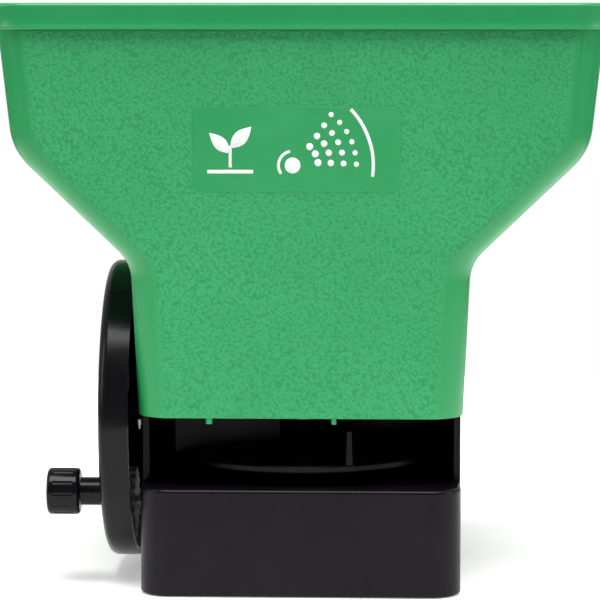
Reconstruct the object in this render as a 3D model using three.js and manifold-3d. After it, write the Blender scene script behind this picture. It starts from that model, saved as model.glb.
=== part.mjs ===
// Hand-held broadcast spreader, in millimetres, +Z up.
// The origin is the centre of the base's underside, on the axis of the spinning disc.
// The discharge slot faces -Y, the crank wheel is on the -X side and the handle is at +Y.

import * as THREE from 'three';
import { mergeVertices } from 'three/addons/utils/BufferGeometryUtils.js';
import Module from 'manifold-3d';

const wasm = await Module();
wasm.setup();

// ---------------------------------------------------------------- driving dimensions

const GAP = 0.3;                 // air between neighbouring solids
const WALL = 2.4;                // moulded wall thickness

const BASE_HALF_X = 64.5;
const BASE_HALF_Y = 64;
const BASE_CORNER = 12;
const BASE_WALL = 2.6;
const DECK_Z = 43.4;
const WELL_RADIUS = 56;
const WELL_FLOOR_Z = 39;
const BUSH_BOSS_TOP_Z = 42.1;
const BUSH_FLANGE = 1.4;
const SLOT_TOP_Z = 72;           // top of the side walls, where the hopper's skirt starts
const SLOT_FRONT_Y = -40;        // front edges of the side walls
const TOP_PLATE_Z = 72.6;
const SPIGOT_TOP_Z = 80;
const COVER_THICK = 2.4;
const COVER_SCREW_AT = 50;
const SCREW_BOSS_RADIUS = 4;
const PILOT_RADIUS = 1.8;        // hole that a screw's thread sits in
const CLEARANCE_RADIUS = 1.9;    // hole that a screw passes through

const HOPPER_BOTTOM_Z = SLOT_TOP_Z + GAP;
const HOPPER_TOP_Z = 236.5;
const RIM_BOTTOM_Z = 226.2;
const RIM_OVERHANG = 2.4;
const NECK_BOTTOM_HALF_X = 65;
const NECK_TOP_HALF_X = 67.9;
const NECK_TOP_Z = 133.6;
const SHOULDER_HALF_X = 114.6;
const SHOULDER_Z = 178.4;
const TOP_HALF_X = 121;
const HOPPER_BOTTOM_HALF_Y = 65;
const HOPPER_TOP_HALF_Y = 69;
const HOPPER_CORNER = 14;
const FLOOR_Z = 76.9;            // underside of the flat floor round the outlet
const FLOOR_HALF = 36;
const FUNNEL_TOP_Z = 103;
const AGITATOR_TOP_Z = 87.4;     // the stirrer on top of the upright shaft
const HOPPER_SCREW_X = 47;
const HOPPER_SCREW_Y = 46;
const HOPPER_PEGS = [{ x: -36, radius: 1.3 }, { x: 13.6, radius: 1.05 }];
const PEG_DROP = 2.2;            // how far the two moulding pegs hang below the skirt
const PEG_ROOT = 4;              // and how far they run up inside it

const OUTLET_HALF_X = 16;
const OUTLET_FRONT_Y = 12;
const OUTLET_RELIEF = 2.4;       // the hole under the gate is this much bigger all round

const DISC_RADIUS = 57;
const DISC_TOP_Z = 51.8;
const DISC_THICK = 3;
const DISC_HUB_HEIGHT = 11;
const VANE_HEIGHT = 13.7;
const VANE_COUNT = 4;
const VANE_SKEW = THREE.MathUtils.degToRad(11);
const VANE_ANGLE = THREE.MathUtils.degToRad(-69.6);

const WHEEL_Z = 67.6;            // height of the crank axis
const WHEEL_RADIUS = 61.9;
const WHEEL_INNER_X = -68.7;
const WHEEL_OUTER_X = -81;
const AXLE_RADIUS = 5.5;
const AXLE_END_X = WHEEL_OUTER_X + 2.2;
const BOSS_END_X = WHEEL_INNER_X + 0.6;
const CRANK_Y = -37.5;
const CRANK_Z = 38.1;
const KNOB_RADIUS = 9.5;
const KNOB_INNER_X = -90.4;
const KNOB_OUTER_X = -103.6;
const KNOB_PIN_END_X = KNOB_OUTER_X + 4.2;
const KNOB_PIN_RADIUS = 3.4;
const POST_RADIUS = 5.75;        // the thick foot of the knob's pin

const GEAR_MODULE = 1.5;
const RING_TEETH = 72;
const PINION_TEETH = 18;
const SHAFT_Z = WHEEL_Z - GEAR_MODULE * (RING_TEETH - PINION_TEETH) / 2;
const SHAFT_RADIUS = 2.5;
const PINION_END_X = WHEEL_OUTER_X + 3.4;
const BEVEL_GEAR_TEETH = 16;
const BEVEL_PINION_TEETH = 12;
const BEVEL_MODULE = 1;
const BEVEL_SMALL_END = 0.68;    // size of the bevel teeth's inner ends, against their outer ends
const SPINDLE_RADIUS = 2.2;      // the upright shaft that carries the disc

const HANDLE_FRONT_Y = 66.9;
const HANDLE_HALF_X = 15;
const HANDLE_BOTTOM_Z = 6;
const HANDLE_TOP_Z = 112;
const TRIGGER_Y = 94;
const TRIGGER_Z = 103.4;
const TRIGGER_LEAN = THREE.MathUtils.degToRad(12);
const TRIGGER_HALF_X = 6.5;
const TRIGGER_PIN_RADIUS = 2;
const LINK_Z = 77.9;
const LINK_ROD_RADIUS = 1.5;
const DIAL_Y = 112;
const DIAL_RADIUS = 13;

const GATE_TRAVEL = 2 * (TRIGGER_Z - LINK_Z) * Math.tan(TRIGGER_LEAN);
const LINK_PIN_Y = TRIGGER_Y - GATE_TRAVEL / 2;

// ---------------------------------------------------------------- materials

function plastic(name, colour, roughness) {
  const material = new THREE.MeshStandardMaterial({ color: colour, roughness, metalness: 0 });
  material.name = name;
  return material;
}

function metal(name, colour, roughness) {
  const material = new THREE.MeshStandardMaterial({ color: colour, roughness, metalness: 1 });
  material.name = name;
  return material;
}

const greenPlastic = () => plastic('green_plastic', 0x42ab70, 0.45);
const blackPlastic = () => plastic('black_plastic', 0x28252a, 0.4);
const glossBlack = () => plastic('gloss_black_plastic', 0x1d1b1e, 0.25);
const greyPlastic = () => plastic('grey_gear_plastic', 0xb9b8b2, 0.5);
const steel = () => metal('steel', 0x9a9ca0, 0.35);

// ---------------------------------------------------------------- solids

// Turns a closed geometry into a solid that can be joined and cut.
function toSolid(geometry) {
  const bare = geometry.clone();
  bare.deleteAttribute('normal');
  bare.deleteAttribute('uv');
  const merged = mergeVertices(bare, 1e-4);
  const vertProperties = new Float32Array(merged.attributes.position.array);
  const triVerts = new Uint32Array(merged.index.array);
  return new wasm.Manifold(new wasm.Mesh({ numProp: 3, vertProperties, triVerts }));
}

function toGeometry(solid) {
  const data = solid.getMesh();
  const geometry = new THREE.BufferGeometry();
  geometry.setAttribute('position', new THREE.BufferAttribute(data.vertProperties, 3));
  geometry.setIndex(new THREE.BufferAttribute(data.triVerts, 1));
  geometry.computeVertexNormals();
  return geometry;
}

function join(first, ...others) {
  return others.reduce((whole, other) => whole.add(other), first);
}

function cut(first, ...others) {
  return others.reduce((whole, other) => whole.subtract(other), first);
}

function box(xRange, yRange, zRange) {
  const size = [xRange, yRange, zRange].map(([low, high]) => high - low);
  const middle = [xRange, yRange, zRange].map(([low, high]) => (low + high) / 2);
  return toSolid(new THREE.BoxGeometry(...size).translate(...middle));
}

// A round bar standing along Z.
function barZ(radius, zRange, [x, y] = [0, 0], segments = 24) {
  const [low, high] = zRange;
  const geometry = new THREE.CylinderGeometry(radius, radius, high - low, segments);
  return toSolid(geometry.rotateX(Math.PI / 2).translate(x, y, (low + high) / 2));
}

// A round bar lying along X.
function barX(radius, xRange, [y, z], segments = 24) {
  const [low, high] = xRange;
  const geometry = new THREE.CylinderGeometry(radius, radius, high - low, segments);
  return toSolid(geometry.rotateZ(Math.PI / 2).translate((low + high) / 2, y, z));
}

// A round bar lying along Y.
function barY(radius, yRange, [x, z], segments = 24) {
  const [low, high] = yRange;
  const geometry = new THREE.CylinderGeometry(radius, radius, high - low, segments);
  return toSolid(geometry.translate(x, (low + high) / 2, z));
}

// Turned about Z: the profile is a list of [radius, z] and closes on the axis or on itself.
function turnedZ(profile, segments = 48) {
  const points = profile.map(([radius, height]) => new THREE.Vector2(radius, height));
  return toSolid(new THREE.LatheGeometry(points, segments).rotateX(Math.PI / 2));
}

// Turned about a line along X through (y, z): the profile is a list of [radius, x].
function turnedX(profile, [y, z], segments = 48) {
  const points = profile.map(([radius, along]) => new THREE.Vector2(radius, along));
  const geometry = new THREE.LatheGeometry(points, segments);
  return toSolid(geometry.rotateZ(-Math.PI / 2).translate(0, y, z));
}

// Extrudes a shape drawn in X and Y upwards.
function extrudeZ(shape, [low, high], curveSegments = 8) {
  const options = { depth: high - low, bevelEnabled: false, curveSegments };
  const geometry = new THREE.ExtrudeGeometry(shape, options);
  return toSolid(geometry.translate(0, 0, low));
}

// Maps a geometry drawn in its own X and Y, and extruded along its Z, onto Y, Z and X.
function layAlongX(geometry) {
  const [alongX, alongY, alongZ] = [[1, 0, 0], [0, 1, 0], [0, 0, 1]].map((v) => new THREE.Vector3(...v));
  return geometry.applyMatrix4(new THREE.Matrix4().makeBasis(alongY, alongZ, alongX));
}

// Extrudes a shape drawn in Y and Z along X.
function extrudeX(shape, [low, high], curveSegments = 8) {
  const options = { depth: high - low, bevelEnabled: false, curveSegments };
  const geometry = new THREE.ExtrudeGeometry(shape, options);
  return toSolid(layAlongX(geometry.translate(0, 0, low)));
}

// The outline of a rounded rectangle, anticlockwise from its lower right corner.
function rectangleOutline(halfX, halfY, corner, steps = 4) {
  const outline = [];
  const centres = [[1, -1], [1, 1], [-1, 1], [-1, -1]];
  centres.forEach(([sideX, sideY], index) => {
    for (let step = 0; step <= steps; step += 1) {
      const angle = (index - 1 + step / steps) * Math.PI / 2;
      const x = sideX * (halfX - corner) + corner * Math.cos(angle);
      const y = sideY * (halfY - corner) + corner * Math.sin(angle);
      outline.push(new THREE.Vector2(x, y));
    }
  });
  return outline;
}

// Skins a stack of rounded rectangles, each given as { z, halfX, halfY, corner }, lowest first.
function stack(levels) {
  const rings = levels.map(({ halfX, halfY, corner }) => rectangleOutline(halfX, halfY, corner));
  return skin(rings, levels.map(({ z }) => z));
}

// Skins convex outlines with the same number of points, one above the other.
function skin(rings, heights) {
  const count = rings[0].length;
  const positions = rings.flatMap((ring, level) => ring.flatMap(({ x, y }) => [x, y, heights[level]]));
  const index = [];
  for (let level = 0; level + 1 < rings.length; level += 1) {
    for (let point = 0; point < count; point += 1) {
      const here = level * count + point;
      const next = level * count + (point + 1) % count;
      index.push(here, next, next + count, here, next + count, here + count);
    }
  }
  const caps = THREE.ShapeUtils.triangulateShape(rings[0], []);
  const top = (rings.length - 1) * count;
  caps.forEach(([a, b, c]) => index.push(a, c, b, top + a, top + b, top + c));
  const geometry = new THREE.BufferGeometry();
  geometry.setAttribute('position', new THREE.Float32BufferAttribute(positions, 3));
  geometry.setIndex(index);
  return toSolid(geometry);
}

function prism(halfX, halfY, corner, [low, high]) {
  return stack([{ z: low, halfX, halfY, corner }, { z: high, halfX, halfY, corner }]);
}

// A polygon with rounded corners, each given as [x, y, radius].
function roundedPolygon(corners, path = new THREE.Shape()) {
  const total = corners.length;
  corners.forEach(([x, y, radius], index) => {
    const here = new THREE.Vector2(x, y);
    const before = new THREE.Vector2(...corners[(index + total - 1) % total].slice(0, 2));
    const after = new THREE.Vector2(...corners[(index + 1) % total].slice(0, 2));
    const entry = here.clone().add(before.sub(here).setLength(radius));
    const exit = here.clone().add(after.sub(here).setLength(radius));
    if (index === 0) {
      path.moveTo(entry.x, entry.y);
    } else {
      path.lineTo(entry.x, entry.y);
    }
    path.quadraticCurveTo(x, y, exit.x, exit.y);
  });
  path.closePath();
  return path;
}

// ---------------------------------------------------------------- gears

const PRESSURE_ANGLE = THREE.MathUtils.degToRad(20);

// The outline of a spur gear with involute flanks. Slack is taken off each tooth's width on the pitch circle.
function gearOutline({ teeth, module, addendum, dedendum, slack }, flankSteps = 1) {
  const pitchRadius = teeth * module / 2;
  const baseRadius = pitchRadius * Math.cos(PRESSURE_ANGLE);
  const rootRadius = pitchRadius - dedendum;
  const flankStart = Math.max(baseRadius, rootRadius);
  const flankEnd = pitchRadius + addendum;
  const involute = (angle) => Math.tan(angle) - angle;
  const halfTooth = Math.PI / (2 * teeth) - slack / (2 * pitchRadius) + involute(PRESSURE_ANGLE);
  const halfAngleAt = (radius) => halfTooth - involute(Math.acos(baseRadius / radius));
  const flank = [];
  if (rootRadius < baseRadius) {
    flank.push([rootRadius, halfAngleAt(baseRadius)]);
  }
  for (let step = 0; step <= flankSteps; step += 1) {
    const radius = flankStart + (flankEnd - flankStart) * step / flankSteps;
    flank.push([radius, halfAngleAt(radius)]);
  }
  const outline = [];
  for (let tooth = 0; tooth < teeth; tooth += 1) {
    const middle = tooth * 2 * Math.PI / teeth;
    const rising = flank.map(([radius, half]) => [radius, middle - half]);
    const falling = flank.map(([radius, half]) => [radius, middle + half]).reverse();
    [...rising, ...falling].forEach(([radius, angle]) => {
      outline.push(new THREE.Vector2(radius * Math.cos(angle), radius * Math.sin(angle)));
    });
  }
  return outline;
}

// A straight bevel gear standing on its larger end: its teeth shrink towards the apex above it.
function bevelTeeth(outline, apexHeight) {
  const shrunk = outline.map((point) => point.clone().multiplyScalar(BEVEL_SMALL_END));
  return skin([outline, shrunk], [0, apexHeight * (1 - BEVEL_SMALL_END)]);
}

// ---------------------------------------------------------------- hopper

// The half width of the hopper's outer wall, from the skirt up to the rim, with rounded bends.
function hopperSideCurve() {
  const neck = new THREE.Vector2(NECK_TOP_HALF_X, NECK_TOP_Z);
  const shoulder = new THREE.Vector2(SHOULDER_HALF_X, SHOULDER_Z);
  const neckBend = 7;
  const shoulderBend = 9;
  const slope = shoulder.clone().sub(neck).normalize();
  const neckWall = new THREE.Vector2(NECK_TOP_HALF_X - NECK_BOTTOM_HALF_X, NECK_TOP_Z - HOPPER_BOTTOM_Z);
  const upperWall = new THREE.Vector2(TOP_HALF_X - SHOULDER_HALF_X, HOPPER_TOP_Z - SHOULDER_Z);
  const bends = [
    [neck, neckWall.normalize(), slope, neckBend],
    [shoulder, slope, upperWall.normalize(), shoulderBend],
  ];
  const curve = [new THREE.Vector2(NECK_BOTTOM_HALF_X, HOPPER_BOTTOM_Z)];
  bends.forEach(([corner, arriving, leaving, reach]) => {
    const start = corner.clone().addScaledVector(arriving, -reach);
    const end = corner.clone().addScaledVector(leaving, reach);
    curve.push(...new THREE.QuadraticBezierCurve(start, corner, end).getPoints(4));
  });
  curve.push(new THREE.Vector2(TOP_HALF_X, HOPPER_TOP_Z));
  return curve;
}

function hopperHalfY(z) {
  const share = (z - HOPPER_BOTTOM_Z) / (HOPPER_TOP_Z - HOPPER_BOTTOM_Z);
  return THREE.MathUtils.lerp(HOPPER_BOTTOM_HALF_Y, HOPPER_TOP_HALF_Y, share);
}

function hopperHalfX(z) {
  const curve = hopperSideCurve();
  const above = Math.max(1, curve.findIndex((point) => point.y >= z));
  const [low, high] = [curve[above - 1], curve[above]];
  return THREE.MathUtils.mapLinear(z, low.y, high.y, low.x, high.x);
}

function hopperLevel(z, inset) {
  return {
    z,
    halfX: hopperHalfX(z) - inset,
    halfY: hopperHalfY(z) - inset,
    corner: HOPPER_CORNER - inset,
  };
}

function hopperBody() {
  const heights = hopperSideCurve().map((point) => point.y);
  const outside = stack(heights.map((z) => hopperLevel(z, 0)));
  const upperHeights = heights.filter((z) => z > FUNNEL_TOP_Z);
  const floorLevel = (z, half) => ({ z, halfX: half, halfY: half, corner: 10 });
  const inside = stack([
    floorLevel(FLOOR_Z + WALL, FLOOR_HALF),
    ...[FUNNEL_TOP_Z, ...upperHeights].map((z) => hopperLevel(z, WALL)),
    hopperLevelAbove(WALL),
  ]);
  const underside = stack([
    { ...hopperLevel(HOPPER_BOTTOM_Z, WALL), z: HOPPER_BOTTOM_Z - 1 },
    hopperLevel(FUNNEL_TOP_Z, WALL),
  ]);
  const funnel = stack([
    floorLevel(FLOOR_Z, FLOOR_HALF + WALL),
    hopperLevel(FUNNEL_TOP_Z - WALL, WALL - 1),
    hopperLevel(FUNNEL_TOP_Z + 1, WALL - 1),
  ]);
  return cut(outside, inside, cut(underside, funnel));
}

// One level past the open top, so that the inside is cut right through it.
function hopperLevelAbove(inset) {
  return { ...hopperLevel(HOPPER_TOP_Z, inset), z: HOPPER_TOP_Z + 1 };
}

// The rolled rim: a band round the top with a downward groove behind its lip.
function hopperRim() {
  const rounding = 1.4;
  const lip = 1.6;
  const level = (z, out) => ({
    z,
    halfX: hopperHalfX(z) + out,
    halfY: hopperHalfY(z) + out,
    corner: HOPPER_CORNER + out,
  });
  const band = stack([
    level(RIM_BOTTOM_Z, RIM_OVERHANG - 0.5),
    level(RIM_BOTTOM_Z + 0.6, RIM_OVERHANG),
    level(HOPPER_TOP_Z - rounding, RIM_OVERHANG),
    level(HOPPER_TOP_Z - 0.4, RIM_OVERHANG - 0.5),
    level(HOPPER_TOP_Z, RIM_OVERHANG - rounding),
  ]);
  const opening = stack([
    { ...level(RIM_BOTTOM_Z, -1), z: RIM_BOTTOM_Z - 1 },
    { ...level(HOPPER_TOP_Z, -1), z: HOPPER_TOP_Z + 1 },
  ]);
  const groove = stack([
    { ...level(RIM_BOTTOM_Z, RIM_OVERHANG - lip), z: RIM_BOTTOM_Z - 1 },
    level(HOPPER_TOP_Z - 2 * lip, RIM_OVERHANG - lip),
  ]);
  return cut(band, opening, cut(groove, opening));
}

function screwPositions(x, y) {
  return [[-x, -y], [x, -y], [x, y], [-x, y]];
}

function hopper() {
  const bossTop = FLOOR_Z + 14;
  const screwPlaces = screwPositions(HOPPER_SCREW_X, HOPPER_SCREW_Y);
  const bossRange = [TOP_PLATE_Z + WALL + GAP, bossTop];
  const bosses = screwPlaces.map((at) => barZ(SCREW_BOSS_RADIUS, bossRange, at, 14));
  const pilots = screwPlaces.map((at) => barZ(PILOT_RADIUS, [TOP_PLATE_Z, bossTop - 3], at, 12));
  const pegY = -HOPPER_BOTTOM_HALF_Y + WALL / 2 + 0.3;
  const pegs = HOPPER_PEGS.map(({ x, radius }) => (
    barZ(radius, [HOPPER_BOTTOM_Z - PEG_DROP, HOPPER_BOTTOM_Z + PEG_ROOT], [x, pegY], 16)
  ));
  const outlet = box(
    [-OUTLET_HALF_X, OUTLET_HALF_X],
    [OUTLET_FRONT_Y, OUTLET_FRONT_Y + GATE_TRAVEL],
    [FLOOR_Z - 2, FLOOR_Z + WALL + 2],
  );
  const shaftHole = barZ(SPINDLE_RADIUS + 1, [FLOOR_Z - 2, FLOOR_Z + WALL + 2]);
  const axleNotch = barX(8.5, [-WHEEL_RADIUS - 10, -60], [0, WHEEL_Z]);
  const linkNotch = box([-3.2, 3.2], [60, 70], [HOPPER_BOTTOM_Z - 2, LINK_Z + 3.5]);
  const whole = join(hopperBody(), hopperRim(), ...bosses, ...pegs);
  return cut(whole, ...pilots, outlet, shaftHole, axleNotch, linkNotch);
}

// ---------------------------------------------------------------- base housing

const drivePoint = [0, SHAFT_Z];
const wheelPoint = [0, WHEEL_Z];
const crankPoint = [CRANK_Y, CRANK_Z];
const HANDLE_SCREWS = [[72.4, 14], [72.4, 60], [131, 98], [127, 15]];

function baseTub() {
  const level = (z, inset) => ({
    z,
    halfX: BASE_HALF_X - inset,
    halfY: BASE_HALF_Y - inset,
    corner: BASE_CORNER - inset,
  });
  const outside = stack([
    level(0, 1), level(1, 0), level(DECK_Z - 1.8, 0), level(DECK_Z - 0.5, 0.5), level(DECK_Z, 1.7),
  ]);
  const inside = prism(
    BASE_HALF_X - BASE_WALL, BASE_HALF_Y - BASE_WALL, BASE_CORNER - BASE_WALL, [-1, DECK_Z - BASE_WALL],
  );
  const well = barZ(WELL_RADIUS + WALL, [WELL_FLOOR_Z - WALL, DECK_Z], [0, 0], 60);
  const wellRoom = barZ(WELL_RADIUS, [WELL_FLOOR_Z, DECK_Z + 5], [0, 0], 60);
  return cut(join(cut(outside, inside), well), wellRoom);
}

// The walls round the spinning disc, open at the front, with a spigot that plugs into the hopper's skirt.
function baseWalls() {
  const spigotHalfX = NECK_BOTTOM_HALF_X - WALL - 0.4;
  const spigotHalfY = HOPPER_BOTTOM_HALF_Y - WALL - 0.4;
  const wallRoom = prism(
    BASE_HALF_X - BASE_WALL, BASE_HALF_Y - BASE_WALL, BASE_CORNER - BASE_WALL, [DECK_Z - 3, SLOT_TOP_Z + 1],
  );
  const everyX = [-BASE_HALF_X - 10, BASE_HALF_X + 10];
  const inFront = [-BASE_HALF_Y - 10, SLOT_FRONT_Y];
  const walls = cut(
    prism(BASE_HALF_X, BASE_HALF_Y, BASE_CORNER, [DECK_Z - 2, SLOT_TOP_Z]),
    wallRoom,
    box(everyX, inFront, [DECK_Z - 3, SLOT_TOP_Z + 1]),
  );
  const neck = cut(
    prism(spigotHalfX, spigotHalfY, BASE_CORNER, [SLOT_TOP_Z - 2, SPIGOT_TOP_Z]),
    prism(spigotHalfX - WALL, spigotHalfY - WALL, BASE_CORNER - WALL, [SLOT_TOP_Z - 3, SPIGOT_TOP_Z + 1]),
    box(everyX, inFront, [SLOT_TOP_Z - 3, TOP_PLATE_Z]),
  );
  const plate = prism(spigotHalfX - 0.5, spigotHalfY - 0.5, BASE_CORNER, [TOP_PLATE_Z, TOP_PLATE_Z + WALL]);
  return join(walls, neck, plate);
}

function gateRails() {
  return [-1, 1].map((side) => {
    const [near, far] = [20.4, 22.4];
    const xRange = side > 0 ? [near, far] : [-far, -near];
    return box(xRange, [6, 61.5], [TOP_PLATE_Z + 1, FLOOR_Z - GAP]);
  });
}

function baseHousing() {
  const coverBosses = screwPositions(COVER_SCREW_AT, COVER_SCREW_AT)
    .map((at) => barZ(SCREW_BOSS_RADIUS, [COVER_THICK + GAP, DECK_Z - 1], at, 14));
  const coverPilots = screwPositions(COVER_SCREW_AT, COVER_SCREW_AT)
    .map((at) => barZ(PILOT_RADIUS, [0, 20], at, 12));
  const axleBoss = barX(8, [BOSS_END_X, -58.6], wheelPoint);
  const axle = barX(AXLE_RADIUS, [AXLE_END_X, -60], wheelPoint);
  const axlePilot = barX(PILOT_RADIUS, [AXLE_END_X - 1, -66], wheelPoint, 12);
  const driveBoss = barX(4.8, [BOSS_END_X, -60], drivePoint);
  const innerBoss = barX(5.6, [-63, -54], drivePoint);
  const shaftRib = box([-21, -16], [-7, 7], [SHAFT_Z - 6.5, WELL_FLOOR_Z - 1]);
  const shaftBore = barX(SHAFT_RADIUS + GAP, [-70, -10], drivePoint);
  const bushBoss = barZ(7, [WELL_FLOOR_Z - WALL, BUSH_BOSS_TOP_Z]);
  const bushBore = barZ(4.6, [30, 45]);
  const handlePad = box([-12, 12], [BASE_HALF_Y - 1, HANDLE_FRONT_Y - GAP], [8, 68]);
  const handleRib = box([-1.5, 1.5], [BASE_HALF_Y - 1, 74.2], [9.5, 66]);
  const ribHoles = HANDLE_SCREWS.slice(0, 2).map((at) => barX(2, [-3, 3], at, 12));
  const outlet = box(
    [-OUTLET_HALF_X - OUTLET_RELIEF, OUTLET_HALF_X + OUTLET_RELIEF],
    [OUTLET_FRONT_Y - OUTLET_RELIEF, OUTLET_FRONT_Y + GATE_TRAVEL + OUTLET_RELIEF],
    [TOP_PLATE_Z - 2, TOP_PLATE_Z + WALL + 1],
  );
  const shaftHole = barZ(SPINDLE_RADIUS + 1, [TOP_PLATE_Z - 2, TOP_PLATE_Z + WALL + 1]);
  const linkNotch = box([-3.2, 3.2], [58, 68], [TOP_PLATE_Z + WALL - 0.2, SPIGOT_TOP_Z + 1]);
  const screwHoles = screwPositions(HOPPER_SCREW_X, HOPPER_SCREW_Y)
    .map((at) => barZ(CLEARANCE_RADIUS, [TOP_PLATE_Z - 1, TOP_PLATE_Z + WALL + 1], at, 12));
  const whole = join(
    baseTub(), baseWalls(), ...gateRails(), ...coverBosses, axleBoss, axle,
    driveBoss, innerBoss, shaftRib, bushBoss, handlePad, handleRib,
  );
  return cut(
    whole, ...coverPilots, ...ribHoles, ...screwHoles,
    axlePilot, shaftBore, bushBore, outlet, shaftHole, linkNotch,
  );
}

function bottomCover() {
  const inset = BASE_WALL + GAP;
  const plate = prism(BASE_HALF_X - inset, BASE_HALF_Y - inset, BASE_CORNER - inset, [0, COVER_THICK]);
  const boss = barZ(6.5, [1, 9.6]);
  const bore = barZ(4.3, [COVER_THICK, 12]);
  const holes = screwPositions(COVER_SCREW_AT, COVER_SCREW_AT).flatMap((at) => [
    barZ(CLEARANCE_RADIUS, [-1, COVER_THICK + 1], at, 12),
    barZ(3.6, [-1, 1.2], at, 14),
  ]);
  return cut(join(plate, boss), bore, ...holes);
}

// ---------------------------------------------------------------- screws and turned pieces

// A pan-head screw pointing along +Z, with its head's underside at the origin and a cross slot.
function screw(length, { bodyRadius = 1.5, headRadius = 3.2, headHeight = 1.8 } = {}) {
  const profile = [
    [0, -headHeight],
    [headRadius * 0.6, -headHeight],
    [headRadius, -headHeight * 0.45],
    [headRadius, 0],
    [bodyRadius, 0],
    [bodyRadius, length - 1.5],
    [0, length],
  ];
  const slot = 0.45;
  const across = headRadius * 0.6;
  const deep = [-headHeight - 1, -headHeight * 0.4];
  return cut(
    turnedZ(profile, 10),
    box([-across, across], [-slot, slot], deep),
    box([-slot, slot], [-across, across], deep),
  );
}

// ---------------------------------------------------------------- spinning disc and its drive

// A tapered upright blade from the disc's edge inwards, turned off the radius by the skew.
function vane(angle) {
  const innerRadius = 13;
  const outerRadius = DISC_RADIUS - 0.6;
  const outer = new THREE.Vector2(Math.cos(angle), Math.sin(angle)).multiplyScalar(outerRadius);
  const inwards = angle + Math.PI - VANE_SKEW;
  const length = outerRadius - innerRadius;
  const footHalf = 1.4;
  const crestHalf = 0.9;
  const strip = (half) => [
    new THREE.Vector2(0, -half),
    new THREE.Vector2(length, -half),
    new THREE.Vector2(length, half),
    new THREE.Vector2(0, half),
  ];
  const upright = skin([strip(footHalf), strip(crestHalf)], [DISC_TOP_Z - 1, DISC_TOP_Z + VANE_HEIGHT]);
  return upright.rotate([0, 0, THREE.MathUtils.radToDeg(inwards)]).translate([outer.x, outer.y, 0]);
}

function impellerDisc() {
  const bottom = DISC_TOP_Z - DISC_THICK;
  const hubBottom = BUSH_BOSS_TOP_Z + 2 * GAP + BUSH_FLANGE;
  const hubTop = DISC_TOP_Z + DISC_HUB_HEIGHT;
  const disc = turnedZ([
    [0, hubBottom],
    [7, hubBottom],
    [7, bottom],
    [DISC_RADIUS - 0.8, bottom],
    [DISC_RADIUS, bottom + 0.6],
    [DISC_RADIUS, DISC_TOP_Z - 0.4],
    [DISC_RADIUS - 0.5, DISC_TOP_Z],
    [16, DISC_TOP_Z],
    [10, DISC_TOP_Z + 2],
    [6.5, hubTop],
    [0, hubTop],
  ], 48);
  const step = 2 * Math.PI / VANE_COUNT;
  const angles = Array.from({ length: VANE_COUNT }, (_, index) => VANE_ANGLE + index * step);
  const bore = barZ(SPINDLE_RADIUS + GAP, [40, 70]);
  return cut(join(disc, ...angles.map(vane)), bore);
}

function impellerShaft() {
  return barZ(SPINDLE_RADIUS, [COVER_THICK + GAP, AGITATOR_TOP_Z - 1.4]);
}

function lowerBush() {
  return cut(barZ(4, [COVER_THICK + GAP, 10.5]), barZ(SPINDLE_RADIUS + GAP, [0, 12]));
}

function upperBush() {
  const flange = BUSH_BOSS_TOP_Z + GAP;
  const body = join(barZ(4.3, [WELL_FLOOR_Z - WALL, flange + 1]), barZ(6, [flange, flange + BUSH_FLANGE]));
  return cut(body, barZ(SPINDLE_RADIUS + GAP, [30, 45]));
}

function impellerClip() {
  const low = DISC_TOP_Z + DISC_HUB_HEIGHT + GAP;
  const thick = 1.2;
  const ring = cut(barZ(4.6, [low, low + thick]), barZ(SPINDLE_RADIUS + GAP, [low - 1, low + 2]));
  return cut(ring, box([0, 6], [-1, 1], [low - 1, low + 2]));
}

function agitator() {
  const low = FLOOR_Z + WALL + 1.8;
  const high = AGITATOR_TOP_Z;
  const armLength = 20;
  const hub = barZ(5, [low, high], [0, 0], 24);
  const arms = [1, -1].map((side) => {
    const reach = new THREE.Shape();
    reach.absarc(0, 0, 2, Math.PI / 2, 3 * Math.PI / 2);
    reach.absarc(armLength, 0, 1.4, -Math.PI / 2, Math.PI / 2);
    reach.closePath();
    const arm = extrudeZ(reach, [low + 0.3, low + 3]);
    return arm.rotate([0, 0, side > 0 ? 0 : 180]);
  });
  return cut(join(hub, ...arms), barZ(SPINDLE_RADIUS + GAP, [low - 1, high - 1]));
}

const SPUR = { module: GEAR_MODULE, slack: 0.35 };

function drivePinion() {
  const outline = gearOutline({ ...SPUR, teeth: PINION_TEETH, addendum: 1.35, dedendum: 1.8 }, 2);
  const teeth = extrudeX(new THREE.Shape(outline), [PINION_END_X, PINION_END_X + 7]);
  const turned = teeth.rotate([180 / PINION_TEETH, 0, 0]).translate([0, 0, SHAFT_Z]);
  return cut(turned, barX(SHAFT_RADIUS + GAP, [PINION_END_X + 1.2, -65], drivePoint));
}

function driveShaft() {
  return barX(SHAFT_RADIUS, [PINION_END_X + 1.6, -3.8], drivePoint);
}

const BEVEL_TEETH = { module: BEVEL_MODULE, addendum: 0.7, slack: 0.35 };
const bevelGearReach = BEVEL_MODULE * BEVEL_PINION_TEETH / 2;
const bevelPinionReach = BEVEL_MODULE * BEVEL_GEAR_TEETH / 2;

function bevelGear() {
  const outline = gearOutline({ ...BEVEL_TEETH, teeth: BEVEL_GEAR_TEETH, dedendum: 1.35 });
  const teeth = bevelTeeth(outline, bevelGearReach).rotate([90, 0, 90]);
  const placed = teeth.translate([-bevelGearReach, 0, SHAFT_Z]);
  const hub = barX(6, [-13.5, -bevelGearReach + 0.5], drivePoint, 24);
  return cut(join(placed, hub), barX(SHAFT_RADIUS + GAP, [-15, 0], drivePoint));
}

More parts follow.
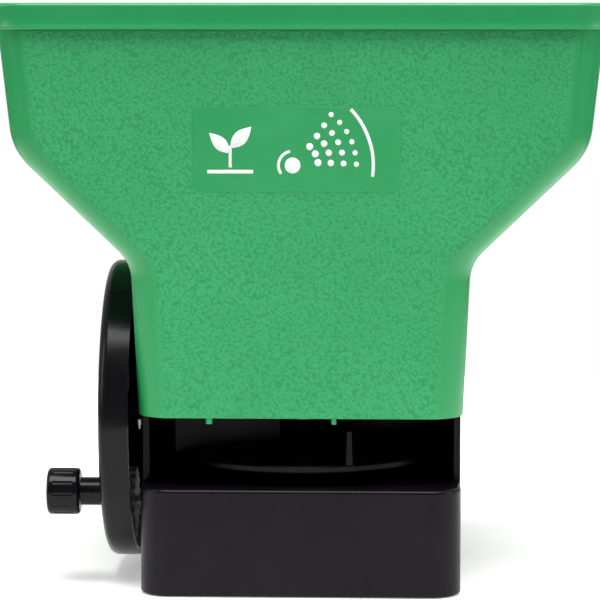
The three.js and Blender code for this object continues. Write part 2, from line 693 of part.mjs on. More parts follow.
function bevelPinion() {
  const outline = gearOutline({ ...BEVEL_TEETH, teeth: BEVEL_PINION_TEETH, dedendum: 0.95 });
  const bottom = SHAFT_Z - bevelPinionReach;
  const teeth = bevelTeeth(outline, bevelPinionReach).rotate([0, 0, 180 / BEVEL_PINION_TEETH]);
  const hub = barZ(4.4, [11, bottom + 0.5], [0, 0], 24);
  return cut(join(teeth.translate([0, 0, bottom]), hub), barZ(SPINDLE_RADIUS + GAP, [5, 30]));
}

// ---------------------------------------------------------------- crank wheel

function crankWheel() {
  const webInner = WHEEL_OUTER_X + 3;
  const gearFace = WHEEL_INNER_X - 1.9;
  const gearRoom = 50;
  const hubRadius = 9.5;
  const hubEnd = WHEEL_INNER_X - 0.7;
  const band = 3.2;
  const round = 4;
  const corner = [0, 30, 60, 90].map((degrees) => {
    const angle = THREE.MathUtils.degToRad(degrees);
    const radius = WHEEL_RADIUS - round + round * Math.sin(angle);
    const x = WHEEL_OUTER_X + round - round * Math.cos(angle);
    return [radius, x];
  });
  const dish = turnedX([
    [0, WHEEL_OUTER_X],
    [12, WHEEL_OUTER_X],
    [14, WHEEL_OUTER_X + 1],
    [48, WHEEL_OUTER_X + 1],
    [50, WHEEL_OUTER_X],
    ...corner,
    [WHEEL_RADIUS, WHEEL_INNER_X - 0.5],
    [WHEEL_RADIUS - 0.6, WHEEL_INNER_X],
    [WHEEL_RADIUS - band, WHEEL_INNER_X],
    [WHEEL_RADIUS - band, gearFace],
    [gearRoom, gearFace],
    [gearRoom, webInner],
    [hubRadius, webInner],
    [hubRadius, hubEnd],
    [0, hubEnd],
  ], wheelPoint, 64);
  const toothSpaces = gearOutline({
    ...SPUR, teeth: RING_TEETH, addendum: 1.8, dedendum: 1.35, slack: -0.35,
  });
  const spaces = extrudeX(new THREE.Shape(toothSpaces), [webInner, gearFace + 1]).translate([0, 0, WHEEL_Z]);
  const middle = barX(hubRadius, [-90, -60], wheelPoint, 48);
  const ribs = Array.from({ length: 6 }, (_, index) => {
    const rib = box([WHEEL_OUTER_X + 0.2, WHEEL_OUTER_X + 2], [-1.5, 1.5], [10, 49]);
    return rib.rotate([index * 60 + 15, 0, 0]).translate([0, 0, WHEEL_Z]);
  });
  const post = barX(POST_RADIUS, [KNOB_INNER_X + GAP, WHEEL_OUTER_X + 1.5], crankPoint);
  const pin = barX(KNOB_PIN_RADIUS, [KNOB_PIN_END_X, KNOB_INNER_X + 2], crankPoint, 24);
  const pinPilot = barX(PILOT_RADIUS - 0.1, [KNOB_PIN_END_X - 1, KNOB_INNER_X], crankPoint, 12);
  const bore = barX(AXLE_RADIUS + GAP, [-90, -60], wheelPoint);
  const washerSeat = barX(hubRadius - 0.1, [-90, AXLE_END_X], wheelPoint);
  return cut(join(cut(dish, cut(spaces, middle)), ...ribs, post, pin), bore, washerSeat, pinPilot);
}

function wheelWasher() {
  const thick = 1.2;
  const high = AXLE_END_X - GAP;
  const low = high - thick;
  const hole = barX(CLEARANCE_RADIUS + 0.2, [low - 1, high + 1], wheelPoint, 12);
  return cut(barX(8.8, [low, high], wheelPoint), hole);
}

const KNOB_CAP_RADIUS = 6.1;

function crankKnob() {
  const round = 1.4;
  const soft = 0.4;
  const body = turnedX([
    [0, KNOB_OUTER_X],
    [KNOB_RADIUS - round, KNOB_OUTER_X],
    [KNOB_RADIUS - soft, KNOB_OUTER_X + soft],
    [KNOB_RADIUS, KNOB_OUTER_X + round],
    [KNOB_RADIUS, KNOB_INNER_X - round],
    [KNOB_RADIUS - soft, KNOB_INNER_X - soft],
    [KNOB_RADIUS - round, KNOB_INNER_X],
    [0, KNOB_INNER_X],
  ], crankPoint, 28);
  const bore = barX(KNOB_PIN_RADIUS + GAP, [KNOB_OUTER_X - 5, KNOB_INNER_X + 5], crankPoint);
  const capSeat = barX(KNOB_CAP_RADIUS + GAP, [KNOB_OUTER_X - 5, KNOB_PIN_END_X], crankPoint);
  return cut(body, bore, capSeat);
}

function knobCap() {
  return turnedX([
    [0, KNOB_OUTER_X - 0.5],
    [KNOB_CAP_RADIUS - 1.5, KNOB_OUTER_X - 0.3],
    [KNOB_CAP_RADIUS, KNOB_OUTER_X + 0.6],
    [KNOB_CAP_RADIUS, KNOB_OUTER_X + 1.4],
    [0, KNOB_OUTER_X + 1.4],
  ], crankPoint, 32);
}

// ---------------------------------------------------------------- gate, trigger and handle

function gatePlate() {
  const plateTop = FLOOR_Z - GAP;
  const plate = box([-20, 20], [8, 48.5], [TOP_PLATE_Z + WALL + GAP, plateTop]);
  const lug = box([-4, 4], [45.5, 48.5], [plateTop - 1, LINK_Z + 2.8]);
  const hole = barY(LINK_ROD_RADIUS + GAP, [44, 50], [0, LINK_Z], 12);
  const nose = barZ(SPINDLE_RADIUS + 1.2, [70, 80], [0, 6]);
  return cut(join(plate, lug), hole, nose);
}

function gateLink() {
  const rod = barY(LINK_ROD_RADIUS, [44.1, LINK_PIN_Y], [0, LINK_Z], 12);
  const head = barY(2.2, [44.1, 45.2], [0, LINK_Z + 1.2], 12);
  const pin = barX(LINK_ROD_RADIUS, [-6, 6], [LINK_PIN_Y, LINK_Z], 16);
  return join(rod, head, pin);
}

// The trigger hangs from the origin here, and is placed at its pivot, leaning forward.
function trigger() {
  const linkReach = TRIGGER_Z - LINK_Z;
  const springSideX = 2.5;
  const blade = roundedPolygon([
    [-4, 0, 1],
    [-4, -30, 8],
    [-1.6, -48, 8],
    [1.6, -69, 2],
    [6.6, -69, 2],
    [5.2, -48, 8],
    [4, -30, 8],
    [4, 0, 1],
  ]);
  const whole = join(
    extrudeX(blade, [-TRIGGER_HALF_X, TRIGGER_HALF_X], 6),
    barX(5.2, [-TRIGGER_HALF_X, springSideX], [0, 0]),
  );
  const springRoom = box([springSideX, 10], [-8, 8], [-7.5, 8]);
  const slot = roundedPolygon([
    [-2, -linkReach - 2.9, 1.6],
    [2, -linkReach - 2.9, 1.6],
    [2, -linkReach + 2.3, 1.6],
    [-2, -linkReach + 2.3, 1.6],
  ]);
  const pinSlot = extrudeX(slot, [-10, 10], 4);
  const rodRoom = box([-2.2, 2.2], [-9, 2], [-linkReach - 5, -linkReach + 5]);
  const bore = barX(TRIGGER_PIN_RADIUS + GAP, [-10, 10], [0, 0], 24);
  return cut(whole, springRoom, pinSlot, rodRoom, bore);
}

function triggerPin() {
  return barX(TRIGGER_PIN_RADIUS, [-12, 12], [TRIGGER_Y, TRIGGER_Z], 24);
}

function triggerSpring() {
  const at = [TRIGGER_Y, TRIGGER_Z];
  return cut(barX(4.6, [2.9, 6.9], at), barX(2.7, [0, 10], at));
}

const handleOutside = [
  [HANDLE_FRONT_Y, HANDLE_BOTTOM_Z, 2],
  [132, HANDLE_BOTTOM_Z, 14],
  [147, 58, 22],
  [143, HANDLE_TOP_Z, 17],
  [HANDLE_FRONT_Y, HANDLE_TOP_Z, 3],
];

const handleGap = [
  [78, 22, 5],
  [114, 22, 9],
  [120.5, 58, 18],
  [118, 94, 9],
  [78, 94, 5],
];

// Moves each corner of a polygon towards (or away from) its middle by a fixed amount on both axes.
function offsetCorners(corners, [middleY, middleZ], amount) {
  return corners.map(([y, z, radius]) => {
    const newY = y - Math.sign(y - middleY) * amount;
    const newZ = Math.abs(z - middleZ) < 8 ? z : z - Math.sign(z - middleZ) * amount;
    return [newY, newZ, Math.max(1, radius - amount)];
  });
}

// Both halves together, with rounded outer edges, and the room inside them.
function wholeHandle() {
  const bevel = 4;
  const outline = roundedPolygon(offsetCorners(handleOutside, [100, 58], bevel));
  outline.holes.push(roundedPolygon(offsetCorners(handleGap, [100, 58], -bevel), new THREE.Path()));
  const geometry = new THREE.ExtrudeGeometry(outline, {
    depth: 2 * (HANDLE_HALF_X - bevel),
    bevelThickness: bevel,
    bevelSize: bevel,
    bevelSegments: 2,
    curveSegments: 4,
  });
  return toSolid(layAlongX(geometry.translate(0, 0, bevel - HANDLE_HALF_X)));
}

function handleRoom() {
  const outline = roundedPolygon(offsetCorners(handleOutside, [100, 58], WALL + 1));
  outline.holes.push(roundedPolygon(offsetCorners(handleGap, [100, 58], -WALL - 1), new THREE.Path()));
  const half = HANDLE_HALF_X - WALL - 0.6;
  return extrudeX(outline, [-half, half], 4);
}

function handleHalf(side) {
  const far = 20;
  const towards = (near, away) => (side > 0 ? [near, away] : [-away, -near]);
  const halfSpace = box(towards(GAP / 2, far), [60, 160], [0, 120]);
  const bosses = HANDLE_SCREWS.map((at, index) => {
    const start = index < 2 ? 1.9 : GAP / 2;
    return barX(4.8, towards(start, HANDLE_HALF_X - 1), at, 20);
  });
  const pinBoss = barX(4.6, towards(7.4, HANDLE_HALF_X - 1), [TRIGGER_Y, TRIGGER_Z], 24);
  const pinHole = barX(TRIGGER_PIN_RADIUS + 0.2, towards(0, 12.4), [TRIGGER_Y, TRIGGER_Z], 24);
  const screwRooms = HANDLE_SCREWS.flatMap((at) => (side > 0
    ? [barX(PILOT_RADIUS, [-1, 11], at, 12)]
    : [barX(PILOT_RADIUS, [-20, 1], at, 12), barX(3.7, [-20, -12], at, 14)]));
  const ribSlot = box([-1.9, 1.9], [60, 71], [9, 66.6]);
  const linkTunnel = box([-4, 4], [60, 80], [LINK_Z - 4, LINK_Z + 4]);
  const triggerMouth = box([-7.2, 7.2], [84, 104], [88, 98]);
  const dialHole = barZ(4.3, [105, 120], [0, DIAL_Y]);
  const shell = cut(wholeHandle().intersect(halfSpace), handleRoom());
  return cut(
    join(shell, ...bosses, pinBoss), pinHole, ...screwRooms, ribSlot, linkTunnel, triggerMouth, dialHole,
  );
}

function flowDial() {
  const low = HANDLE_TOP_Z + GAP;
  const body = turnedZ([
    [0, low],
    [DIAL_RADIUS, low],
    [DIAL_RADIUS, low + 4.6],
    [DIAL_RADIUS - 1, low + 5.6],
    [0, low + 5.6],
  ], 40);
  const grooves = Array.from({ length: 16 }, (_, index) => {
    const angle = index * Math.PI / 8;
    const at = [DIAL_RADIUS * Math.cos(angle), DIAL_RADIUS * Math.sin(angle)];
    return barZ(1.1, [low - 1, low + 7], at, 6);
  });
  const stem = barZ(4, [100, low + 1], [0, 0], 24);
  const pilot = barZ(PILOT_RADIUS, [104, low + 8], [0, 0], 16);
  const headSeat = barZ(3.6, [low + 4.2, low + 8], [0, 0], 20);
  return cut(join(body, stem), ...grooves, pilot, headSeat).translate([0, DIAL_Y, 0]);
}

// ---------------------------------------------------------------- assembly

const group = new THREE.Group();

function addPiece(name, solid, material, parent = group) {
  const mesh = new THREE.Mesh(toGeometry(solid), material);
  mesh.name = name;
  parent.add(mesh);
  return mesh;
}

addPiece('hopper', hopper(), greenPlastic());
addPiece('base_housing', baseHousing(), blackPlastic());
addPiece('bottom_cover', bottomCover(), blackPlastic());
addPiece('impeller_disc', impellerDisc(), blackPlastic());
addPiece('impeller_shaft', impellerShaft(), steel());
addPiece('lower_bush', lowerBush(), greyPlastic());
addPiece('upper_bush', upperBush(), greyPlastic());
addPiece('impeller_clip', impellerClip(), steel());
addPiece('agitator', agitator(), blackPlastic());
addPiece('drive_pinion', drivePinion(), greyPlastic());
addPiece('drive_shaft', driveShaft(), steel());
addPiece('bevel_gear', bevelGear(), greyPlastic());
addPiece('bevel_pinion', bevelPinion(), greyPlastic());
addPiece('crank_wheel', crankWheel(), glossBlack());
addPiece('wheel_washer', wheelWasher(), steel());
addPiece('crank_knob', crankKnob(), glossBlack());
addPiece('knob_cap', knobCap(), glossBlack());
addPiece('gate_plate', gatePlate(), blackPlastic());
addPiece('gate_link', gateLink(), steel());
addPiece('trigger_pin', triggerPin(), steel());
addPiece('trigger_spring', triggerSpring(), steel());
addPiece('handle_left', handleHalf(-1), blackPlastic());
addPiece('handle_right', handleHalf(1), blackPlastic());
addPiece('flow_dial', flowDial(), blackPlastic());

const triggerMesh = addPiece('trigger', trigger(), blackPlastic());
triggerMesh.position.set(0, TRIGGER_Y, TRIGGER_Z);
triggerMesh.rotation.x = -TRIGGER_LEAN;

// Screws point along +Z as built. Each is turned to its own direction and moved to its seat.
const upwards = new THREE.Euler(0, 0, 0);
const downwards = new THREE.Euler(Math.PI, 0, 0);
const towardsRight = new THREE.Euler(0, Math.PI / 2, 0);

function addScrew(name, seat, turn, length, size) {
  const mesh = addPiece(name, screw(length, size), steel());
  mesh.position.set(...seat);
  mesh.rotation.copy(turn);
}

screwPositions(COVER_SCREW_AT, COVER_SCREW_AT).forEach(([x, y], index) => {
  const head = { headRadius: 3.2, headHeight: 1.0 };
  addScrew(`cover_screw_${index + 1}`, [x, y, 1.2 - GAP], upwards, 14, head);
});
screwPositions(HOPPER_SCREW_X, HOPPER_SCREW_Y).forEach(([x, y], index) => {
  addScrew(`hopper_screw_${index + 1}`, [x, y, TOP_PLATE_Z - GAP], upwards, 13);
});
HANDLE_SCREWS.forEach(([y, z], index) => {
  addScrew(`handle_screw_${index + 1}`, [-12 - GAP, y, z], towardsRight, 22);
});
const wheelHead = { headRadius: 4.2, headHeight: 2 };
const knobHead = { headRadius: 4.4, headHeight: 1.6 };
const dialHead = { headRadius: 3.1, headHeight: 1.4 };
addScrew('wheel_screw', [AXLE_END_X - 1.8, ...wheelPoint], towardsRight, 13, wheelHead);
addScrew('knob_screw', [KNOB_PIN_END_X - GAP, ...crankPoint], towardsRight, 9, knobHead);
addScrew('dial_screw', [0, DIAL_Y, HANDLE_TOP_Z + 4.8], downwards, 10, dialHead);

export default group;
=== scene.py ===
import math

import bmesh
import bpy
from mathutils import Matrix, Vector


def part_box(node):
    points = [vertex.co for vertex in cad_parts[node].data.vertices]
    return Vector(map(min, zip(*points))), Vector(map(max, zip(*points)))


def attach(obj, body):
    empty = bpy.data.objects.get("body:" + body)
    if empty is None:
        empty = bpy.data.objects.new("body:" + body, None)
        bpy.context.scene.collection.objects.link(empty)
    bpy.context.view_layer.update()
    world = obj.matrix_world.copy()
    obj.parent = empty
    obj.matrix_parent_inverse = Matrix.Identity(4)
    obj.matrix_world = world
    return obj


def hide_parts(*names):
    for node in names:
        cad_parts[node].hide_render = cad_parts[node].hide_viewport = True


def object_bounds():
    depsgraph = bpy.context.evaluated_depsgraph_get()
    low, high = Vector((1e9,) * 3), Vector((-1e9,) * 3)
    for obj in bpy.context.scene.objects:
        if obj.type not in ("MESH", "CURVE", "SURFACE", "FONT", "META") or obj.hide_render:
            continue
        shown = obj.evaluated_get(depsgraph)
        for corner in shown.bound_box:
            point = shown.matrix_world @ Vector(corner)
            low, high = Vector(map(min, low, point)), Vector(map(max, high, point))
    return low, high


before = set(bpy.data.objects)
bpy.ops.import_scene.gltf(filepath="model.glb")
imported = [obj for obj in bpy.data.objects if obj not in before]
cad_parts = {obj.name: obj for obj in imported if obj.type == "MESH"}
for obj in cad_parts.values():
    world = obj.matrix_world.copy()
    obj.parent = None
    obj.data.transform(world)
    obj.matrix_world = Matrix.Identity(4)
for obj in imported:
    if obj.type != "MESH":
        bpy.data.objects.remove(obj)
cad_low, cad_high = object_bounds()

# Hand-held broadcast spreader. Shapes are drawn in millimetres in the CAD's own frame,
# +Z up, with the discharge slot facing -Y and the crank wheel on the -X side, and each
# piece is scaled to metres when it is finished.

# ---------------------------------------------------------------- sizes, in millimetres

MM = 0.001
GAP = 0.3
WALL = 2.4


def limits(node):
    """A CAD node's lowest and highest corners in millimetres."""
    low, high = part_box(node)
    return low / MM, high / MM


hopper_high = limits("hopper")[1]
cover_high = limits("bottom_cover")[1]
wheel_low, wheel_high = limits("crank_wheel")
knob_low, knob_high = limits("crank_knob")
disc_high = limits("impeller_disc")[1]
handle_low, handle_high = limits("handle_left")
dial_low, dial_high = limits("flow_dial")
spring_low, spring_high = limits("trigger_spring")

BASE_HALF_X = 64.5
BASE_HALF_Y = 64
BASE_CORNER = 12
BASE_WALL = 2.6
DECK_Z = 43.4
WELL_RADIUS = 56
WELL_FLOOR_Z = 39
BUSH_BOSS_TOP_Z = 42.1
SLOT_TOP_Z = 72
SLOT_FRONT_Y = -40
TOP_PLATE_Z = 72.6
SPIGOT_TOP_Z = 80

HOPPER_TOP_Z = hopper_high.z
HOPPER_BOTTOM_Z = SLOT_TOP_Z + GAP
RIM_BOTTOM_Z = HOPPER_TOP_Z - 10.3
RIM_OVERHANG = 2.4
NECK_BOTTOM_HALF_X = 65
NECK_TOP_HALF_X = 67.9
NECK_TOP_Z = 133.6
SHOULDER_HALF_X = 114.6
SHOULDER_Z = 178.4
TOP_HALF_X = hopper_high.x - RIM_OVERHANG
HOPPER_BOTTOM_HALF_Y = 65
HOPPER_TOP_HALF_Y = hopper_high.y - RIM_OVERHANG
HOPPER_CORNER = 14
FLOOR_Z = 76.9
FLOOR_HALF = 36
FUNNEL_TOP_Z = 103
OUTLET_HALF_X = 16
OUTLET_FRONT_Y = 12
OUTLET_LENGTH = 10.8
OUTLET_RELIEF = 2.4
GATE_RAILS = ((-22.4, -20.4), (20.4, 22.4))
SCREW_X, SCREW_Y = 47, 46
COVER_SCREW_AT = 50
PEGS = ((-36, 1.3), (13.6, 1.05))  # across, radius
PEG_DROP = 2.2
PEG_ROOT = 4

LABEL_X, LABEL_Z = -1.1, 179.3
LABEL_HALF_X, LABEL_HALF_Z = 40.8, 16.7
LABEL_PROUD = 0.12

DISC_RADIUS = 57
DISC_TOP_Z = 51.8
DISC_THICK = 3
DISC_HUB_HEIGHT = 11
VANE_TOP_Z = disc_high.z
VANE_COUNT = 4
VANE_SKEW = math.radians(11)
VANE_ANGLE = math.radians(-69.6)
SPINDLE_RADIUS = 2.2

WHEEL_RADIUS = (wheel_high.z - wheel_low.z) / 2
WHEEL_Z = (wheel_high.z + wheel_low.z) / 2
WHEEL_INNER_X = wheel_high.x
WHEEL_OUTER_X = WHEEL_INNER_X - 12.3
AXLE_RADIUS = 5.5
AXLE_END_X = WHEEL_OUTER_X + 2.2
BOSS_END_X = WHEEL_INNER_X + 0.6
RING_TEETH = 72
GEAR_MODULE = 1.5
SHAFT_Z = WHEEL_Z - 40.5
SHAFT_RADIUS = 2.5
CRANK_AT = ((knob_low.y + knob_high.y) / 2, (knob_low.z + knob_high.z) / 2)
KNOB_RADIUS = (knob_high.z - knob_low.z) / 2
KNOB_INNER_X = knob_high.x
KNOB_OUTER_X = knob_low.x
KNOB_PIN_END_X = KNOB_OUTER_X + 4.2

HANDLE_FRONT_Y = handle_low.y
HANDLE_HALF_X = -handle_low.x
HANDLE_TOP_Z = handle_high.z
TRIGGER_AT = (94, 103.4)
LINK_Z = 77.9
DIAL_Y = (dial_low.y + dial_high.y) / 2
HANDLE_SCREWS = ((72.4, 14), (72.4, 60), (131, 98), (127, 15))

# ---------------------------------------------------------------- meshes


def add_object(name, mesh):
    piece = bpy.data.objects.new(name, mesh)
    bpy.context.scene.collection.objects.link(piece)
    return piece


def solid(rings, looped=False, name="solid"):
    """Skins rings of points, each with the same count. The ends are capped unless it is looped."""
    count = len(rings[0])
    points = [point for ring in rings for point in ring]
    steps = len(rings) if looped else len(rings) - 1
    faces = []
    for step in range(steps):
        here = step * count
        there = (step + 1) % len(rings) * count
        for index in range(count):
            after = (index + 1) % count
            faces.append((here + index, here + after, there + after, there + index))
    if not looped:
        faces.append(tuple(reversed(range(count))))
        faces.append(tuple(range(len(points) - count, len(points))))
    mesh = bpy.data.meshes.new(name)
    mesh.from_pydata(points, [], faces)
    shape = bmesh.new()
    shape.from_mesh(mesh)
    bmesh.ops.remove_doubles(shape, verts=shape.verts, dist=1e-4)
    bmesh.ops.dissolve_degenerate(shape, edges=shape.edges, dist=1e-5)
    bmesh.ops.recalc_face_normals(shape, faces=shape.faces)
    if shape.calc_volume(signed=True) < 0:
        bmesh.ops.reverse_faces(shape, faces=shape.faces)
    shape.to_mesh(mesh)
    shape.free()
    return add_object(name, mesh)


def place(axis, along, across, up):
    """A point from its distance along an axis and its two other coordinates, in their usual order."""
    if axis == "X":
        return (along, across, up)
    if axis == "Y":
        return (across, along, up)
    return (across, up, along)


def turned(axis, at, profile, segments=96):
    """A solid of revolution about a line along the axis. The profile is (radius, along) pairs."""
    rings = []
    for step in range(segments):
        angle = math.tau * step / segments
        ring = []
        for radius, along in profile:
            across = at[0] + radius * math.cos(angle)
            up = at[1] + radius * math.sin(angle)
            ring.append(place(axis, along, across, up))
        rings.append(ring)
    return solid(rings, looped=True)


def bar(axis, radius, span, at=(0, 0), segments=48):
    return turned(axis, at, ((0, span[0]), (radius, span[0]), (radius, span[1]), (0, span[1])), segments)


def slab(axis, outline, span):
    """An outline, in the two other coordinates, drawn out along the axis."""
    return solid([[place(axis, along, *point) for point in outline] for along in span])


def block(x_span, y_span, z_span):
    (left, right), (front, back) = x_span, y_span
    return slab("Z", [(left, front), (right, front), (right, back), (left, back)], z_span)


def rounded_ring(z, half_x, half_y, corner, steps=10):
    ring = []
    for index, (side_x, side_y) in enumerate(((1, -1), (1, 1), (-1, 1), (-1, -1))):
        for step in range(steps + 1):
            angle = (index - 1 + step / steps) * math.pi / 2
            x = side_x * (half_x - corner) + corner * math.cos(angle)
            y = side_y * (half_y - corner) + corner * math.sin(angle)
            ring.append((x, y, z))
    return ring


def corner_places(half_x, half_y):
    return [(x, y) for x in (-half_x, half_x) for y in (-half_y, half_y)]


def prism(half_x, half_y, corner, span):
    return solid([rounded_ring(z, half_x, half_y, corner) for z in span])


def rounded_polygon(corners, steps=10):
    """A polygon whose corners, given as (x, y, reach), are rounded by quadratic curves."""
    outline = []
    for index, (x, y, reach) in enumerate(corners):
        here = Vector((x, y))
        before = Vector(corners[index - 1][:2])
        after = Vector(corners[(index + 1) % len(corners)][:2])
        start = here + (before - here).normalized() * reach
        end = here + (after - here).normalized() * reach
        for step in range(steps + 1):
            share = step / steps
            point = start * (1 - share) ** 2 + here * 2 * share * (1 - share) + end * share ** 2
            outline.append(tuple(point))
    return outline


def baked(piece):
    """Applies a piece's modifiers and gives back the piece."""
    graph = bpy.context.evaluated_depsgraph_get()
    mesh = bpy.data.meshes.new_from_object(piece.evaluated_get(graph))
    piece.modifiers.clear()
    piece.data = mesh
    return piece


def combine(first, others, operation):
    for other in others:
        step = first.modifiers.new("combine", "BOOLEAN")
        step.operation = operation
        step.solver = "MANIFOLD"
        step.object = other
    baked(first)
    for other in others:
        bpy.data.objects.remove(other)
    return first


def join(first, *others):
    return combine(first, others, "UNION")


def cut(first, *others):
    return combine(first, others, "DIFFERENCE")


def common(first, *others):
    return combine(first, others, "INTERSECT")


def moved(piece, matrix):
    piece.data.transform(matrix)
    return piece


def soften(piece, width, segments=3, angle=32):
    """Rounds the piece's sharp edges and shades it smoothly. Width is in the mesh's own units."""
    for face in piece.data.polygons:
        face.use_smooth = True
    edges = piece.modifiers.new("rounded edges", "BEVEL")
    edges.width = width
    edges.segments = segments
    edges.limit_method = "ANGLE"
    edges.angle_limit = math.radians(angle)
    edges.miter_outer = "MITER_ARC"
    edges.harden_normals = True
    normals = piece.modifiers.new("even normals", "WEIGHTED_NORMAL")
    normals.keep_sharp = True
    normals.weight = 50


def finish_piece(piece, name, body, material, edge=0.3, nodes=(), segments=3, angle=32):
    """Scales a piece to metres, rounds its edges and gives it its name, body and material."""
    piece.name = name
    piece.data.name = name
    moved(piece, Matrix.Scale(MM, 4))
    if edge:
        soften(piece, edge * MM, segments, angle)
    else:
        for face in piece.data.polygons:
            face.use_smooth = True
    piece.data.materials.clear()
    piece.data.materials.append(material)
    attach(piece, body)
    if nodes:
        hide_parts(*nodes)
    return piece


def dress(node, material, edge=0.2):
    """Gives a CAD node rounded edges, smooth shading and its material."""
    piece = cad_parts[node]
    if "custom_normal" in piece.data.attributes:
        piece.data.attributes.remove(piece.data.attributes["custom_normal"])
    weld = piece.modifiers.new("weld", "WELD")
    weld.merge_threshold = 1e-6
    flats = piece.modifiers.new("flats", "DECIMATE")
    flats.decimate_type = "DISSOLVE"
    flats.angle_limit = math.radians(0.5)
    soften(piece, edge * MM, 2)
    piece.data.materials.clear()
    piece.data.materials.append(material)


# ---------------------------------------------------------------- materials


class Nodes:
    """A short way to build a material's node tree."""

    def __init__(self, name, colour, roughness, metallic=0.0):
        self.material = bpy.data.materials.new(name)
        self.material.use_nodes = True
        self.tree = self.material.node_tree
        self.shader = self.tree.nodes["Principled BSDF"]
        self.shader.inputs["Base Color"].default_value = (*colour, 1)
        self.shader.inputs["Roughness"].default_value = roughness
        self.shader.inputs["Metallic"].default_value = metallic
        self.place = self.tree.nodes.new("ShaderNodeTexCoord").outputs["Object"]

    def add(self, kind, **values):
        node = self.tree.nodes.new(kind)
        for key, value in values.items():
            setattr(node, key, value)
        return node

    def link(self, output, node, socket):
        self.tree.links.new(output, node.inputs[socket])

    def noise(self, scale, detail=3.0, roughness=0.5, stretch=None):
        node = self.add("ShaderNodeTexNoise")
        node.inputs["Scale"].default_value = scale
        node.inputs["Detail"].default_value = detail
        node.inputs["Roughness"].default_value = roughness
        self.link(self.stretched(stretch), node, "Vector")
        return node.outputs["Fac"]

    def stretched(self, stretch):
        if stretch is None:
            return self.place
        mapping = self.add("ShaderNodeMapping")
        mapping.inputs["Scale"].default_value = stretch
        self.link(self.place, mapping, "Vector")
        return mapping.outputs["Vector"]

    def ramp(self, value, low, high, start=0.0, end=1.0):
        """Maps a value's range from low to high onto start to end."""
        node = self.add("ShaderNodeMapRange", interpolation_type="SMOOTHSTEP")
        self.link(value, node, "Value")
        node.inputs["From Min"].default_value = low
        node.inputs["From Max"].default_value = high
        node.inputs["To Min"].default_value = start
        node.inputs["To Max"].default_value = end
        return node.outputs["Result"]

    def math(self, operation, first, second):
        node = self.add("ShaderNodeMath", operation=operation)
        for index, value in enumerate((first, second)):
            if isinstance(value, (int, float)):
                node.inputs[index].default_value = value
            else:
                self.link(value, node, index)
        return node.outputs["Value"]

    def mix(self, factor, first, second):
        """A colour between two others, each given as a triple or an output."""
        node = self.add("ShaderNodeMix", data_type="RGBA")
        self.link(factor, node, "Factor")
        for index, value in ((6, first), (7, second)):
            if isinstance(value, tuple):
                node.inputs[index].default_value = (*value, 1)
            else:
                self.link(value, node, index)
        return node.outputs[2]

    def bump(self, height, strength, distance, normal=None):
        node = self.add("ShaderNodeBump")
        node.inputs["Strength"].default_value = strength
        node.inputs["Distance"].default_value = distance
        self.link(height, node, "Height")
        if normal is not None:
            self.link(normal, node, "Normal")
        return node.outputs["Normal"]

    def normal_part(self, axis):
        """How much of the surface's normal points along an axis, either way."""
        geometry = self.add("ShaderNodeNewGeometry")
        parts = self.add("ShaderNodeSeparateXYZ")
        self.link(geometry.outputs["Normal"], parts, "Vector")
        return self.math("ABSOLUTE", parts.outputs[axis], 0.0)

    def edge_wear(self, low=0.52, high=0.6):
        """1 along convex edges, broken up by noise."""
        geometry = self.add("ShaderNodeNewGeometry")
        edges = self.ramp(geometry.outputs["Pointiness"], low, high)
        return self.math("MULTIPLY", edges, self.ramp(self.noise(260, 4.0), 0.42, 0.62))

    def set(self, socket, output):
        self.link(output, self.shader, socket)


GREEN = (0.030, 0.350, 0.135)


